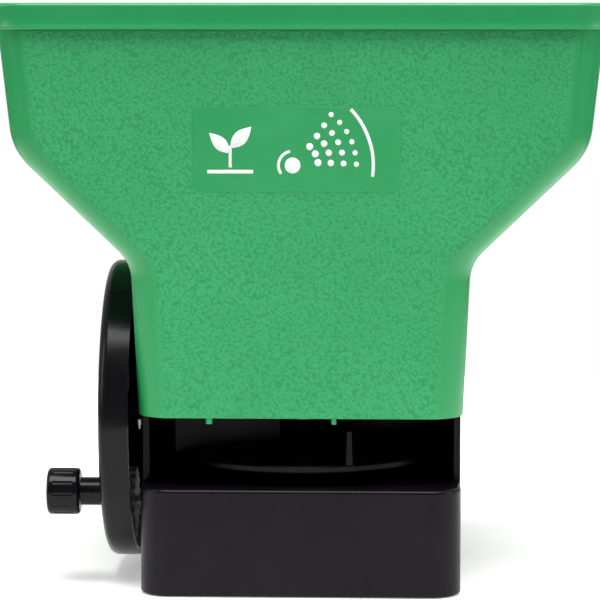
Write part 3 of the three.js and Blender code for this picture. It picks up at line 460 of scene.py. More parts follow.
def green_plastic():
    """Hopper plastic: leather grain on the flats, plain on the rim and the rounded corners. The grained flats
    carry a painted sheen (a lighter green) and painted shade in the grain's hollows.
    """
    look = Nodes("green grained plastic", GREEN, 0.5)
    faces_front = look.ramp(look.normal_part("X"), 0.10, 0.38, 1.0, 0.0)
    faces_side = look.ramp(look.normal_part("Y"), 0.10, 0.38, 1.0, 0.0)
    flat = look.math("MAXIMUM", faces_front, faces_side)
    height = look.add("ShaderNodeSeparateXYZ")
    look.link(look.place, height, "Vector")
    below_rim = look.ramp(height.outputs["Z"], (RIM_BOTTOM_Z - 1) * MM, RIM_BOTTOM_Z * MM, 1.0, 0.0)
    grained = look.math("MULTIPLY", flat, below_rim)
    warp = look.add("ShaderNodeMix", data_type="VECTOR")
    cloud = look.add("ShaderNodeTexNoise")
    cloud.inputs["Scale"].default_value = 1200
    cloud.inputs["Detail"].default_value = 2
    look.link(look.place, cloud, "Vector")
    warp.inputs["Factor"].default_value = 0.0009
    look.link(look.place, warp, 4)
    look.link(cloud.outputs["Color"], warp, 5)
    cells = look.add("ShaderNodeTexVoronoi", feature="SMOOTH_F1")
    cells.inputs["Scale"].default_value = 880
    cells.inputs["Smoothness"].default_value = 0.35
    look.link(warp.outputs[1], cells, "Vector")
    pebbles = look.ramp(cells.outputs["Distance"], 0.15, 0.75, 1.0, 0.0)
    wrinkles = look.noise(1500, 3.0, 0.55)
    relief = look.math("ADD", pebbles, look.math("MULTIPLY", wrinkles, 0.5))
    grain = look.math("MULTIPLY", relief, grained)
    broad = look.noise(14, 3.0)
    # Painted sheen: the grained flats get a lighter green than the smooth rim and corners, standing in for
    # the pale sheen of their grain; the noise only varies that tone at random.
    grained_tone_with_painted_sheen = look.mix(look.ramp(broad, 0.3, 0.7), (0.026, 0.322, 0.108), (0.032, 0.348, 0.120))
    tone = look.mix(grained, (0.018, 0.275, 0.082), grained_tone_with_painted_sheen)
    # Painted shade: the hollows between the grain's pebbles are painted a darker green, as if shaded.
    painted_hollow_shade_mask = look.math("MULTIPLY", look.ramp(cells.outputs["Distance"], 0.35, 0.8), grained)
    tone_with_painted_hollow_shade = look.mix(look.math("MULTIPLY", painted_hollow_shade_mask, 0.68), tone, (0.012, 0.205, 0.060))
    worn = look.mix(look.math("MULTIPLY", look.edge_wear(), 0.3), tone_with_painted_hollow_shade, (0.12, 0.5, 0.27))
    look.set("Base Color", worn)
    patchy = look.ramp(look.noise(45, 4.0), 0.3, 0.7, 0.30, 0.40)
    look.set("Roughness", look.math("ADD", patchy, look.math("MULTIPLY", grained, 0.34)))
    look.shader.inputs["Specular IOR Level"].default_value = 0.4
    fine = look.bump(look.noise(2600, 2.0), 0.12, 0.00005)
    look.set("Normal", look.bump(grain, 0.85, 0.00018, fine))
    look.shader.inputs["Subsurface Weight"].default_value = 0.04
    look.shader.inputs["Subsurface Radius"].default_value = (0.4, 1.0, 0.5)
    look.shader.inputs["Subsurface Scale"].default_value = 0.0015
    return look.material


def label_plastic():
    """The smooth panel for the label: the hopper's own plastic without its grain."""
    look = Nodes("smooth green label", GREEN, 0.34)
    tone = look.mix(look.ramp(look.noise(22, 3.0), 0.3, 0.7), (0.025, 0.292, 0.094), (0.030, 0.310, 0.104))
    look.set("Base Color", tone)
    look.set("Roughness", look.ramp(look.noise(60, 4.0), 0.3, 0.7, 0.30, 0.42))
    look.set("Normal", look.bump(look.noise(900, 3.0), 0.10, 0.00005))
    return look.material


def white_print():
    """Pad print: white ink with a faintly uneven film."""
    look = Nodes("white pad print", (0.82, 0.83, 0.80), 0.4)
    film = look.ramp(look.noise(900, 5.0, 0.6), 0.30, 0.46)
    look.set("Base Color", look.mix(film, (0.66, 0.74, 0.66), (0.84, 0.85, 0.82)))
    look.set("Roughness", look.ramp(look.noise(300, 3.0), 0.3, 0.7, 0.34, 0.48))
    look.set("Normal", look.bump(look.noise(1800, 3.0), 0.10, 0.00004))
    return look.material


def black_plastic(name, colour, gloss, grain_scale=1700, grain=0.16):
    """Moulded black plastic with a fine skin, cloudy gloss, rubbed edges and a little dust."""
    look = Nodes(name, colour, gloss)
    look.shader.inputs["Specular IOR Level"].default_value = 0.15
    cloudy = look.ramp(look.noise(38, 5.0, 0.6), 0.28, 0.72, gloss - 0.06, gloss + 0.07)
    scuffs = look.ramp(look.noise(160, 4.0, 0.65, (1.0, 1.0, 0.12)), 0.60, 0.74)
    look.set("Roughness", look.math("ADD", cloudy, look.math("MULTIPLY", scuffs, 0.12)))
    lighter = tuple(2.2 * part + 0.006 for part in colour)
    tone = look.mix(look.ramp(look.noise(55, 4.0), 0.3, 0.75), colour, tuple(1.35 * part for part in colour))
    dusty = look.mix(look.math("MULTIPLY", look.ramp(look.noise(2400, 2.0), 0.70, 0.80), 0.5), tone, lighter)
    look.set("Base Color", look.mix(look.math("MULTIPLY", look.edge_wear(), 0.5), dusty, lighter))
    look.set("Normal", look.bump(look.noise(grain_scale, 3.0), grain, 0.00008))
    return look.material


def grey_plastic():
    """Natural gear plastic with a trace of grease."""
    look = Nodes("natural gear plastic", (0.52, 0.51, 0.47), 0.42)
    greasy = look.ramp(look.noise(210, 5.0, 0.6), 0.52, 0.68)
    look.set("Base Color", look.mix(greasy, (0.54, 0.53, 0.49), (0.42, 0.38, 0.29)))
    look.set("Roughness", look.ramp(greasy, 0.0, 1.0, 0.46, 0.22))
    look.set("Normal", look.bump(look.noise(1500, 3.0), 0.18, 0.00008))
    return look.material


def plated_steel():
    """Zinc-plated steel with drawn lines and dull spots."""
    look = Nodes("zinc plated steel", (0.56, 0.57, 0.58), 0.32, 1.0)
    spots = look.ramp(look.noise(420, 5.0, 0.6), 0.52, 0.72)
    look.set("Base Color", look.mix(spots, (0.60, 0.61, 0.62), (0.40, 0.39, 0.37)))
    look.set("Roughness", look.ramp(look.noise(90, 5.0), 0.3, 0.7, 0.24, 0.46))
    look.set("Normal", look.bump(look.noise(1400, 2.0, 0.5, (1.0, 1.0, 0.1)), 0.14, 0.00006))
    return look.material


def floor_paint():
    look = Nodes("pale floor", (0.94, 0.94, 0.93), 0.8)
    tone = look.mix(look.ramp(look.noise(3, 2.0), 0.3, 0.7), (0.93, 0.93, 0.92), (0.95, 0.95, 0.94))
    look.set("Base Color", tone)
    look.shader.inputs["Specular IOR Level"].default_value = 0.1
    look.shader.inputs["Emission Color"].default_value = (1, 1, 1, 1)
    look.shader.inputs["Emission Strength"].default_value = 0.3
    return look.material


GREEN_LOOK = green_plastic()
LABEL_LOOK = label_plastic()
PRINT_LOOK = white_print()
BLACK_LOOK = black_plastic("satin black plastic", (0.0034, 0.0022, 0.0036), 0.34)
GLOSS_LOOK = black_plastic("glossy black plastic", (0.0040, 0.0036, 0.0044), 0.2, 900, 0.06)
GRIP_LOOK = black_plastic("grained black plastic", (0.0055, 0.0050, 0.0060), 0.45, 1300, 0.5)
GREY_LOOK = grey_plastic()
STEEL_LOOK = plated_steel()

# ---------------------------------------------------------------- hopper


def bend(start, corner, end, steps=10):
    points = []
    for step in range(steps + 1):
        share = step / steps
        points.append(start * (1 - share) ** 2 + corner * 2 * share * (1 - share) + end * share ** 2)
    return points


def hopper_side_curve():
    """(half width, height) up the hopper's side wall, with its two rounded bends."""
    neck = Vector((NECK_TOP_HALF_X, NECK_TOP_Z))
    shoulder = Vector((SHOULDER_HALF_X, SHOULDER_Z))
    slope = (shoulder - neck).normalized()
    neck_wall = Vector((NECK_TOP_HALF_X - NECK_BOTTOM_HALF_X, NECK_TOP_Z - HOPPER_BOTTOM_Z)).normalized()
    upper_wall = Vector((TOP_HALF_X - SHOULDER_HALF_X, HOPPER_TOP_Z - SHOULDER_Z)).normalized()
    curve = [Vector((NECK_BOTTOM_HALF_X, HOPPER_BOTTOM_Z))]
    curve += bend(neck - neck_wall * 7, neck, neck + slope * 7)
    curve += bend(shoulder - slope * 9, shoulder, shoulder + upper_wall * 9)
    curve.append(Vector((TOP_HALF_X, HOPPER_TOP_Z)))
    return curve


HOPPER_CURVE = hopper_side_curve()


def hopper_half_x(z):
    for low, high in zip(HOPPER_CURVE, HOPPER_CURVE[1:]):
        if z <= high.y:
            share = (z - low.y) / (high.y - low.y)
            return low.x + (high.x - low.x) * share
    return TOP_HALF_X


def hopper_half_y(z):
    share = (z - HOPPER_BOTTOM_Z) / (HOPPER_TOP_Z - HOPPER_BOTTOM_Z)
    return HOPPER_BOTTOM_HALF_Y + (HOPPER_TOP_HALF_Y - HOPPER_BOTTOM_HALF_Y) * share


def hopper_ring(z, out=0.0):
    return rounded_ring(z, hopper_half_x(z) + out, hopper_half_y(z) + out, HOPPER_CORNER + out)


def rounding(radius, out, z, start, end, steps=5):
    """(out, z) pairs round a quarter bend whose centre is given, between two angles in degrees."""
    pairs = []
    for step in range(steps + 1):
        angle = math.radians(start + (end - start) * step / steps)
        pairs.append((out + radius * math.cos(angle), z + radius * math.sin(angle)))
    return pairs


def rim_profile():
    """(out, z) pairs from the groove under the rim, round its lip and over its top."""
    groove_out = 0.8
    lip = 0.75
    roll = 1.5
    edge = RIM_OVERHANG + 0.15
    pairs = [(0.0, HOPPER_TOP_Z - 3.4), (groove_out, HOPPER_TOP_Z - 3.4), (groove_out, RIM_BOTTOM_Z + lip)]
    pairs += rounding(lip, edge - lip, RIM_BOTTOM_Z + lip, -140, 20, 8)
    pairs += [(RIM_OVERHANG - 0.35, RIM_BOTTOM_Z + 2.2), (RIM_OVERHANG - 0.4, RIM_BOTTOM_Z + 4.5)]
    pairs += rounding(roll, RIM_OVERHANG - roll, HOPPER_TOP_Z - roll, 0, 90, 7)
    pairs += rounding(0.8, -WALL + 0.8, HOPPER_TOP_Z - 0.8, 90, 180, 4)
    return pairs


def floor_ring(z, half):
    return rounded_ring(z, half, half, 10)


def hopper_shell():
    heights = [point.y for point in HOPPER_CURVE[1:-1]]
    rings = [floor_ring(FLOOR_Z, FLOOR_HALF + WALL), hopper_ring(FUNNEL_TOP_Z - WALL, -WALL)]
    rings += [hopper_ring(HOPPER_BOTTOM_Z + 0.3, -WALL), hopper_ring(HOPPER_BOTTOM_Z, 0.3 - WALL)]
    for out, z in rounding(0.6, -0.6, HOPPER_BOTTOM_Z + 0.6, -90, 0, 4):
        rings.append(hopper_ring(z, out))
    rings += [hopper_ring(z) for z in heights]
    rings += [hopper_ring(z, out) for out, z in rim_profile()]
    rings += [hopper_ring(z, -WALL) for z in reversed(heights)]
    rings += [hopper_ring(FUNNEL_TOP_Z, -WALL), floor_ring(FLOOR_Z + WALL, FLOOR_HALF)]
    return solid(rings)


def hopper():
    boss_top = FLOOR_Z + 14
    places = corner_places(SCREW_X, SCREW_Y)
    bosses = [bar("Z", 4, (TOP_PLATE_Z + WALL + GAP, boss_top), at, 32) for at in places]
    pilots = [bar("Z", 1.8, (TOP_PLATE_Z, boss_top - 3), at, 24) for at in places]
    peg_y = -HOPPER_BOTTOM_HALF_Y + WALL / 2 + 0.3
    peg_span = (HOPPER_BOTTOM_Z - PEG_DROP, HOPPER_BOTTOM_Z + PEG_ROOT)
    pegs = [bar("Z", radius, peg_span, (x, peg_y), 24) for x, radius in PEGS]
    outlet_y = (OUTLET_FRONT_Y, OUTLET_FRONT_Y + OUTLET_LENGTH)
    outlet = block((-OUTLET_HALF_X, OUTLET_HALF_X), outlet_y, (FLOOR_Z - 2, FLOOR_Z + WALL + 2))
    shaft_hole = bar("Z", SPINDLE_RADIUS + 1, (FLOOR_Z - 2, FLOOR_Z + WALL + 2))
    axle_notch = bar("X", 8.5, (-WHEEL_RADIUS - 10, -60), (0, WHEEL_Z))
    link_notch = block((-3.2, 3.2), (60, 70), (HOPPER_BOTTOM_Z - 2, LINK_Z + 3.5))
    whole = join(hopper_shell(), *bosses, *pegs)
    whole = cut(whole, *pilots, outlet, shaft_hole, axle_notch, link_notch)
    return finish_piece(
        whole, "hopper_shell", "housing", GREEN_LOOK, 0.25, ("hopper",),
        segments=2, angle=40,
    )


def on_front(piece):
    """Moves a piece drawn on the XZ plane onto the hopper's leaning front face."""
    lean = math.atan2(HOPPER_TOP_HALF_Y - HOPPER_BOTTOM_HALF_Y, HOPPER_TOP_Z - HOPPER_BOTTOM_Z)
    middle = Vector((LABEL_X, -hopper_half_y(LABEL_Z), LABEL_Z))
    return moved(piece, Matrix.Translation(middle) @ Matrix.Rotation(lean, 4, "X"))


def label():
    corner = 3.3
    ring = rounded_ring(0, LABEL_HALF_X, LABEL_HALF_Z, corner)
    panel = slab("Y", [(x, y) for x, y, _ in ring], (-LABEL_PROUD, 0.4))
    return finish_piece(
        on_front(panel), "label_panel", "housing", LABEL_LOOK, 0.06, segments=2,
    )


def leaf(root, tip, width, steps=14):
    """A pointed leaf between two points, as an outline."""
    along = Vector(tip) - Vector(root)
    across = Vector((-along.y, along.x)).normalized() * width
    right, left = [], []
    for step in range(steps + 1):
        share = step / steps
        bulge = math.sin(math.pi * share) * (1.15 - 0.3 * share)
        middle = Vector(root) + along * share
        right.append(tuple(middle - across * bulge))
        left.append(tuple(middle + across * bulge))
    return right[:-1] + [tuple(tip)] + list(reversed(left[1:-1]))


def disc_outline(x, z, radius, steps=24):
    return [
        (x + radius * math.cos(math.tau * step / steps), z + radius * math.sin(math.tau * step / steps))
        for step in range(steps)
    ]


def arc_band(centre, radius, width, start, end, steps=28):
    """A curved stripe with square ends, as an outline. Angles are in degrees."""
    angles = [math.radians(start + (end - start) * step / steps) for step in range(steps + 1)]

    def edge(reach):
        return [(centre[0] + reach * math.cos(a), centre[1] + reach * math.sin(a)) for a in angles]

    return edge(radius + width) + edge(radius)[::-1]


def pictogram():
    """A plain printed sign: a sprout on the ground, and granules flying out in arcs."""
    sprout_x = -26
    outlines = [
        leaf((sprout_x, -1.5), (sprout_x - 8.2, 6.6), 2.5),
        leaf((sprout_x, 0.5), (sprout_x + 8.4, 9.0), 2.7),
        [(sprout_x - 0.65, -7), (sprout_x + 0.65, -7), (sprout_x + 0.5, 1.5), (sprout_x - 0.5, 1.5)],
        [(sprout_x - 9, -9.4), (sprout_x + 9, -9.4), (sprout_x + 9, -8.0), (sprout_x - 9, -8.0)],
    ]
    hub = (-1.5, -6.2)
    outlines.append(disc_outline(*hub, 3.1, 32))
    for ring, radius in enumerate((10.0, 15.0, 20.0, 25.0)):
        count = 3 + ring
        for index in range(count):
            angle = math.radians(-4 + 62 * (index + 0.5) / count)
            size = 1.4 - 0.13 * ring
            outlines.append(disc_outline(
                hub[0] + radius * math.cos(angle), hub[1] + radius * math.sin(angle), size,
            ))
    outlines.append(arc_band(hub, 5.0, 1.1, 100, 215))
    outlines.append(arc_band(hub, 31.0, 1.3, -8, 44))
    printed = None
    for outline in outlines:
        stamp = slab("Y", outline, (-LABEL_PROUD - 0.05, -LABEL_PROUD + 0.01))
        printed = stamp if printed is None else merged(printed, stamp)
    return finish_piece(on_front(printed), "label_pictogram", "housing", PRINT_LOOK, 0)


def merged(first, other):
    """Puts two separate meshes into one object."""
    shape = bmesh.new()
    shape.from_mesh(first.data)
    shape.from_mesh(other.data)
    shape.to_mesh(first.data)
    shape.free()
    bpy.data.objects.remove(other)
    return first


# ---------------------------------------------------------------- base housing


def base_prism(inset, span):
    """The base's outline, this far inside its outer face."""
    return prism(BASE_HALF_X - inset, BASE_HALF_Y - inset, BASE_CORNER - inset, span)


def base_tub():
    def level(z, inset):
        return rounded_ring(z, BASE_HALF_X - inset, BASE_HALF_Y - inset, BASE_CORNER - inset)

    rings = [level(0, 1.0), level(0.3, 0.5), level(1.0, 0)]
    rings += [level(z, -out) for out, z in rounding(1.5, -1.5, DECK_Z - 1.5, 0, 90, 6)]
    outside = solid(rings)
    inside = base_prism(BASE_WALL, (-1, DECK_Z - BASE_WALL))
    well = bar("Z", WELL_RADIUS + WALL, (WELL_FLOOR_Z - WALL, DECK_Z), segments=128)
    well_room = bar("Z", WELL_RADIUS, (WELL_FLOOR_Z, DECK_Z + 5), segments=128)
    return cut(join(cut(outside, inside), well), well_room)


def base_walls():
    spigot_x = NECK_BOTTOM_HALF_X - WALL - 0.4
    spigot_y = HOPPER_BOTTOM_HALF_Y - WALL - 0.4
    in_front = (-BASE_HALF_Y - 10, SLOT_FRONT_Y)
    every_x = (-BASE_HALF_X - 10, BASE_HALF_X + 10)
    walls = cut(
        base_prism(0, (DECK_Z - 2, SLOT_TOP_Z)),
        base_prism(BASE_WALL, (DECK_Z - 3, SLOT_TOP_Z + 1)),
        block(every_x, in_front, (DECK_Z - 3, SLOT_TOP_Z + 1)),
    )
    neck = cut(
        prism(spigot_x, spigot_y, BASE_CORNER, (SLOT_TOP_Z - 2, SPIGOT_TOP_Z)),
        prism(spigot_x - WALL, spigot_y - WALL, BASE_CORNER - WALL, (SLOT_TOP_Z - 3, SPIGOT_TOP_Z + 1)),
        block(every_x, in_front, (SLOT_TOP_Z - 3, TOP_PLATE_Z)),
    )
    plate = prism(spigot_x - 0.5, spigot_y - 0.5, BASE_CORNER, (TOP_PLATE_Z, TOP_PLATE_Z + WALL))
    return [walls, neck, plate]


def base_housing():
    wheel = (0, WHEEL_Z)
    drive = (0, SHAFT_Z)
    cover_places = corner_places(COVER_SCREW_AT, COVER_SCREW_AT)
    hopper_places = corner_places(SCREW_X, SCREW_Y)
    whole = join(
        base_tub(),
        *base_walls(),
        *[block(span, (6, 61.5), (TOP_PLATE_Z + 1, FLOOR_Z - GAP)) for span in GATE_RAILS],
        *[bar("Z", 4, (cover_high.z - 7.2 + GAP, DECK_Z - 1), at, 32) for at in cover_places],
        bar("X", 8, (BOSS_END_X, -58.6), wheel, 64),
        bar("X", AXLE_RADIUS, (AXLE_END_X, -60), wheel, 64),
        bar("X", 4.8, (BOSS_END_X, -60), drive, 64),
        bar("X", 5.6, (-63, -54), drive, 64),
        block((-21, -16), (-7, 7), (SHAFT_Z - 6.5, WELL_FLOOR_Z - 1)),
        bar("Z", 7, (WELL_FLOOR_Z - WALL, BUSH_BOSS_TOP_Z)),
        block((-12, 12), (BASE_HALF_Y - 1, HANDLE_FRONT_Y - GAP), (8, 68)),
        block((-1.5, 1.5), (BASE_HALF_Y - 1, 74.2), (9.5, 66)),
    )
    whole = cut(
        whole,
        *[bar("Z", 1.8, (0, 20), at, 24) for at in cover_places],
        *[bar("Z", 1.9, (TOP_PLATE_Z - 1, TOP_PLATE_Z + WALL + 1), at, 24) for at in hopper_places],
        *[bar("X", 2, (-3, 3), at, 24) for at in HANDLE_SCREWS[:2]],
        bar("X", 1.8, (AXLE_END_X - 1, -66), wheel, 24),
        bar("X", SHAFT_RADIUS + GAP, (-70, -10), drive),
        bar("Z", 4.6, (30, 45)),
        bar("Z", SPINDLE_RADIUS + 1, (TOP_PLATE_Z - 2, TOP_PLATE_Z + WALL + 1)),
        block(
            (-OUTLET_HALF_X - OUTLET_RELIEF, OUTLET_HALF_X + OUTLET_RELIEF),
            (OUTLET_FRONT_Y - OUTLET_RELIEF, OUTLET_FRONT_Y + OUTLET_LENGTH + OUTLET_RELIEF),
            (TOP_PLATE_Z - 2, TOP_PLATE_Z + WALL + 1),
        ),
        block((-3.2, 3.2), (58, 68), (TOP_PLATE_Z + WALL - 0.2, SPIGOT_TOP_Z + 1)),
    )
    return finish_piece(
        whole, "base_shell", "housing", BLACK_LOOK, 0.22, ("base_housing",),
        segments=2, angle=40,
    )


# ---------------------------------------------------------------- disc, wheel and knob


def vane(angle):
    inner_radius = 13
    outer_radius = DISC_RADIUS - 0.6
    length = outer_radius - inner_radius
    foot, crest = 1.4, 0.9

    def strip(half, z):
        return [(0, -half, z), (length, -half, z), (length, half, z), (0, half, z)]

    blade = solid([strip(foot, DISC_TOP_Z - 1), strip(crest, VANE_TOP_Z)])
    outer = Vector((math.cos(angle), math.sin(angle), 0)) * outer_radius
    turn = Matrix.Rotation(angle + math.pi - VANE_SKEW, 4, "Z")
    return moved(blade, Matrix.Translation(outer) @ turn)


def impeller_disc():
    bottom = DISC_TOP_Z - DISC_THICK
    hub_bottom = BUSH_BOSS_TOP_Z + 2 * GAP + 1.4
    hub_top = DISC_TOP_Z + DISC_HUB_HEIGHT
    profile = [(0, hub_bottom), (7, hub_bottom), (7, bottom), (DISC_RADIUS - 0.7, bottom)]
    profile += [(DISC_RADIUS, bottom + 0.7), (DISC_RADIUS, DISC_TOP_Z - 0.5), (DISC_RADIUS - 0.5, DISC_TOP_Z)]
    profile += [(16, DISC_TOP_Z), (11.5, DISC_TOP_Z + 0.8), (9, DISC_TOP_Z + 3)]
    profile += [(6.6, hub_top - 0.6), (6, hub_top), (0, hub_top)]
    disc = turned("Z", (0, 0), profile, 144)
    vanes = [vane(VANE_ANGLE + index * math.tau / VANE_COUNT) for index in range(VANE_COUNT)]
    bore = bar("Z", SPINDLE_RADIUS + GAP, (40, 70))
    whole = cut(join(disc, *vanes), bore)
    return finish_piece(
        whole, "spinning_disc", "impeller", BLACK_LOOK, 0.2, ("impeller_disc",), segments=2,
    )


def involute(angle):
    return math.tan(angle) - angle


def ring_gear_space():
    """The outline of the ring gear's tooth spaces, a spur gear with a little slack."""
    pressure = math.radians(20)
    pitch = RING_TEETH * GEAR_MODULE / 2
    base = pitch * math.cos(pressure)
    half_tooth = math.pi / (2 * RING_TEETH) + 0.35 / (2 * pitch) + involute(pressure)
    flank = []
    for radius in (pitch - 1.35, pitch, pitch + 1.8):
        flank.append((radius, half_tooth - involute(math.acos(base / radius))))
    outline = []
    for tooth in range(RING_TEETH):
        middle = tooth * math.tau / RING_TEETH
        sides = [(radius, middle - half) for radius, half in flank]
        sides += [(radius, middle + half) for radius, half in reversed(flank)]
        outline += [(radius * math.cos(angle), WHEEL_Z + radius * math.sin(angle)) for radius, angle in sides]
    return outline


def crank_wheel():
    wheel = (0, WHEEL_Z)
    web_inner = WHEEL_OUTER_X + 3
    gear_face = WHEEL_INNER_X - 1.9
    hub_end = WHEEL_INNER_X - 0.7
    band = 3.2
    corner = 4
    profile = [(0, WHEEL_OUTER_X), (12, WHEEL_OUTER_X), (13.5, WHEEL_OUTER_X + 1), (48.5, WHEEL_OUTER_X + 1)]
    profile += [(50, WHEEL_OUTER_X)]
    for step in range(9):
        angle = math.pi / 2 * step / 8
        profile.append((
            WHEEL_RADIUS - corner + corner * math.sin(angle),
            WHEEL_OUTER_X + corner - corner * math.cos(angle),
        ))
    profile += [(WHEEL_RADIUS, WHEEL_INNER_X), (WHEEL_RADIUS - band, WHEEL_INNER_X)]
    profile += [(WHEEL_RADIUS - band, gear_face), (50, gear_face), (50, web_inner)]
    profile += [(9.5, web_inner), (9.5, hub_end), (0, hub_end)]
    dish = turned("X", wheel, profile, 160)
    spaces = cut(
        slab("X", ring_gear_space(), (web_inner, gear_face + 1)),
        bar("X", 9.5, (-90, -60), wheel, 64),
    )
    ribs = []
    for index in range(6):
        rib = block((WHEEL_OUTER_X + 0.2, WHEEL_OUTER_X + 2), (-1.5, 1.5), (10, 49.2))
        turn = Matrix.Rotation(math.radians(index * 60 + 15), 4, "X")
        ribs.append(moved(rib, Matrix.Translation((0, 0, WHEEL_Z)) @ turn))
    whole = join(
        cut(dish, spaces), *ribs,
        bar("X", 5.75, (KNOB_INNER_X + GAP, WHEEL_OUTER_X + 1.5), CRANK_AT, 64),
        bar("X", 3.4, (KNOB_PIN_END_X, KNOB_INNER_X + 2), CRANK_AT, 48),
    )
    whole = cut(
        whole,
        bar("X", AXLE_RADIUS + GAP, (-90, -60), wheel, 64),
        bar("X", 9.4, (-90, AXLE_END_X), wheel, 64),
        bar("X", 1.7, (KNOB_PIN_END_X - 1, KNOB_INNER_X), CRANK_AT, 24),
    )
    return finish_piece(
        whole, "geared_crank_wheel", "crank", GLOSS_LOOK, 0.2, ("crank_wheel",),
        segments=2,
    )


def crank_knob():
    """The finger knob, with soft ends and shallow grip flutes."""
    ends = 1.5
    profile = [(3.7, KNOB_OUTER_X), (KNOB_RADIUS - ends, KNOB_OUTER_X)]
    profile += rounding(ends, KNOB_RADIUS - ends, KNOB_OUTER_X + ends, -90, 0, 6)
    profile += rounding(ends, KNOB_RADIUS - ends, KNOB_INNER_X - ends, 0, 90, 6)
    profile += [(3.7, KNOB_INNER_X)]
    body = turned("X", CRANK_AT, profile, 96)
    seat = bar("X", 6.4, (KNOB_OUTER_X - 5, KNOB_PIN_END_X), CRANK_AT, 64)
    flutes = []
    for index in range(12):
        angle = math.tau * index / 12
        reach = KNOB_RADIUS + 0.85
        at = (CRANK_AT[0] + reach * math.cos(angle), CRANK_AT[1] + reach * math.sin(angle))
        flutes.append(bar("X", 1.2, (KNOB_OUTER_X + 2.6, KNOB_INNER_X - 2.6), at, 24))
    return finish_piece(
        cut(body, seat, *flutes), "finger_knob", "knob", GLOSS_LOOK, 0.18,
        ("crank_knob",), segments=2,
    )


# ---------------------------------------------------------------- handle, trigger, dial and spring

HANDLE_OUTSIDE = (
    (HANDLE_FRONT_Y, 6, 2),
    (132, 6, 14),
    (147, 58, 22),
    (143, HANDLE_TOP_Z, 17),
    (HANDLE_FRONT_Y, HANDLE_TOP_Z, 3),
)
HANDLE_GAP = ((78, 22, 5), (114, 22, 9), (120.5, 58, 18), (118, 94, 9), (78, 94, 5))


def offset_corners(corners, amount):
    """Moves a polygon's corners towards its middle, or away from it, on both axes."""
    shifted = []
    for y, z, reach in corners:
        new_y = y - math.copysign(amount, y - 100)
        new_z = z if abs(z - 58) < 8 else z - math.copysign(amount, z - 58)
        shifted.append((new_y, new_z, max(1.0, reach - amount)))
    return rounded_polygon(shifted)


def rounded_slab(corners, edge, inwards, half, steps=6):
    """An outline drawn out along X with round long edges. Inwards is -1 for a hole's outline."""
    rings = []
    for side in (-1, 1):
        for step in range(steps + 1):
            share = step if side < 0 else steps - step
            angle = math.pi / 2 * share / steps
            inset = edge * (1 - math.sin(angle))
            x = side * (half - edge + edge * math.cos(angle))
            outline = offset_corners(corners, inwards * inset)
            rings.append([(x, y, z) for y, z in outline])
    return solid(rings)


def handle_half(side):
    """One half of the handle. The two meet at a fine seam."""
    far = 20
    seam = 0.03

    def towards(near, away):
        return (near, away) if side > 0 else (-away, -near)

    edge = 4
    outer = rounded_slab(HANDLE_OUTSIDE, edge, 1, HANDLE_HALF_X)
    gap = rounded_slab(HANDLE_GAP, -edge, -1, HANDLE_HALF_X)
    room_half = HANDLE_HALF_X - WALL - 0.6
    room = cut(
        slab("X", offset_corners(HANDLE_OUTSIDE, WALL + 1), (-room_half, room_half)),
        slab("X", offset_corners(HANDLE_GAP, -WALL - 1), (-room_half - 1, room_half + 1)),
    )
    shell = cut(common(outer, block(towards(seam, far), (60, 160), (0, 120))), gap, room)
    starts = (1.9, 1.9, seam, seam)
    bosses = [
        bar("X", 4.8, towards(start, HANDLE_HALF_X - 1), at, 32)
        for start, at in zip(starts, HANDLE_SCREWS)
    ]
    whole = join(shell, *bosses, bar("X", 4.6, towards(7.4, HANDLE_HALF_X - 1), TRIGGER_AT, 40))
    if side > 0:
        screw_rooms = [bar("X", 1.8, (-1, 11), at, 24) for at in HANDLE_SCREWS]
    else:
        screw_rooms = [bar("X", 1.8, (-20, 1), at, 24) for at in HANDLE_SCREWS]
        screw_rooms += [bar("X", 3.7, (-20, -12), at, 32) for at in HANDLE_SCREWS]
    grooves = []
    for index in range(9):
        z = 30 + 6.5 * index
        grooves.append(bar("X", 1.3, (-far, far), (grip_back_y(z) + 0.75, z), 16))
    whole = cut(
        whole, *screw_rooms, *grooves,
        bar("X", 2.2, towards(0, 12.4), TRIGGER_AT, 32),
        block((-1.9, 1.9), (60, 71), (9, 66.6)),
        block((-4, 4), (60, 80), (LINK_Z - 4, LINK_Z + 4)),
        block((-7.2, 7.2), (84, 104), (88, 98)),
        bar("Z", 4.3, (105, 120), (0, DIAL_Y)),
    )
    name, node = ("right_handle_half", "handle_right") if side > 0 else ("left_handle_half", "handle_left")
    return finish_piece(
        whole, name, "housing", GRIP_LOOK, 0.3, (node,), segments=2, angle=38,
    )


def grip_back_y(z):
    """The handle's back edge at a height, read off its outline."""
    outline = rounded_polygon(HANDLE_OUTSIDE)
    crossings = []
    for (y, low), (next_y, high) in zip(outline, outline[1:]):
        if min(low, high) <= z <= max(low, high) and low != high:
            crossings.append(y + (next_y - y) * (z - low) / (high - low))
    return max(crossings)


def spring_coil():
    """The trigger's torsion spring: the wound part only, as long as its CAD sleeve."""
    wire = 0.42
    radius = (spring_high.z - spring_low.z) / 2 - wire
    start_x, end_x = spring_low.x + wire, spring_high.x - wire
    turns, steps = 4.25, 20
    path = []
    for index in range(int(turns * steps) + 1):
        angle = math.tau * index / steps
        x = start_x + (end_x - start_x) * index / (turns * steps)
        y = TRIGGER_AT[0] + radius * math.cos(angle)
        z = TRIGGER_AT[1] + radius * math.sin(angle)
        path.append(Vector((x, y, z)))
    curve = bpy.data.curves.new("spring", "CURVE")
    curve.dimensions = "3D"
    curve.bevel_depth = wire
    curve.bevel_resolution = 4
    curve.use_fill_caps = True
    line = curve.splines.new("POLY")
    line.points.add(len(path) - 1)
    for point, place_at in zip(line.points, path):
        point.co = (*place_at, 1)
    wound = add_object("spring", curve)
    graph = bpy.context.evaluated_depsgraph_get()
    mesh = bpy.data.meshes.new_from_object(wound.evaluated_get(graph))
    bpy.data.objects.remove(wound)
    return finish_piece(
        add_object("spring", mesh), "torsion_spring", "trigger_arm", STEEL_LOOK, 0,
        ("trigger_spring",),
    )


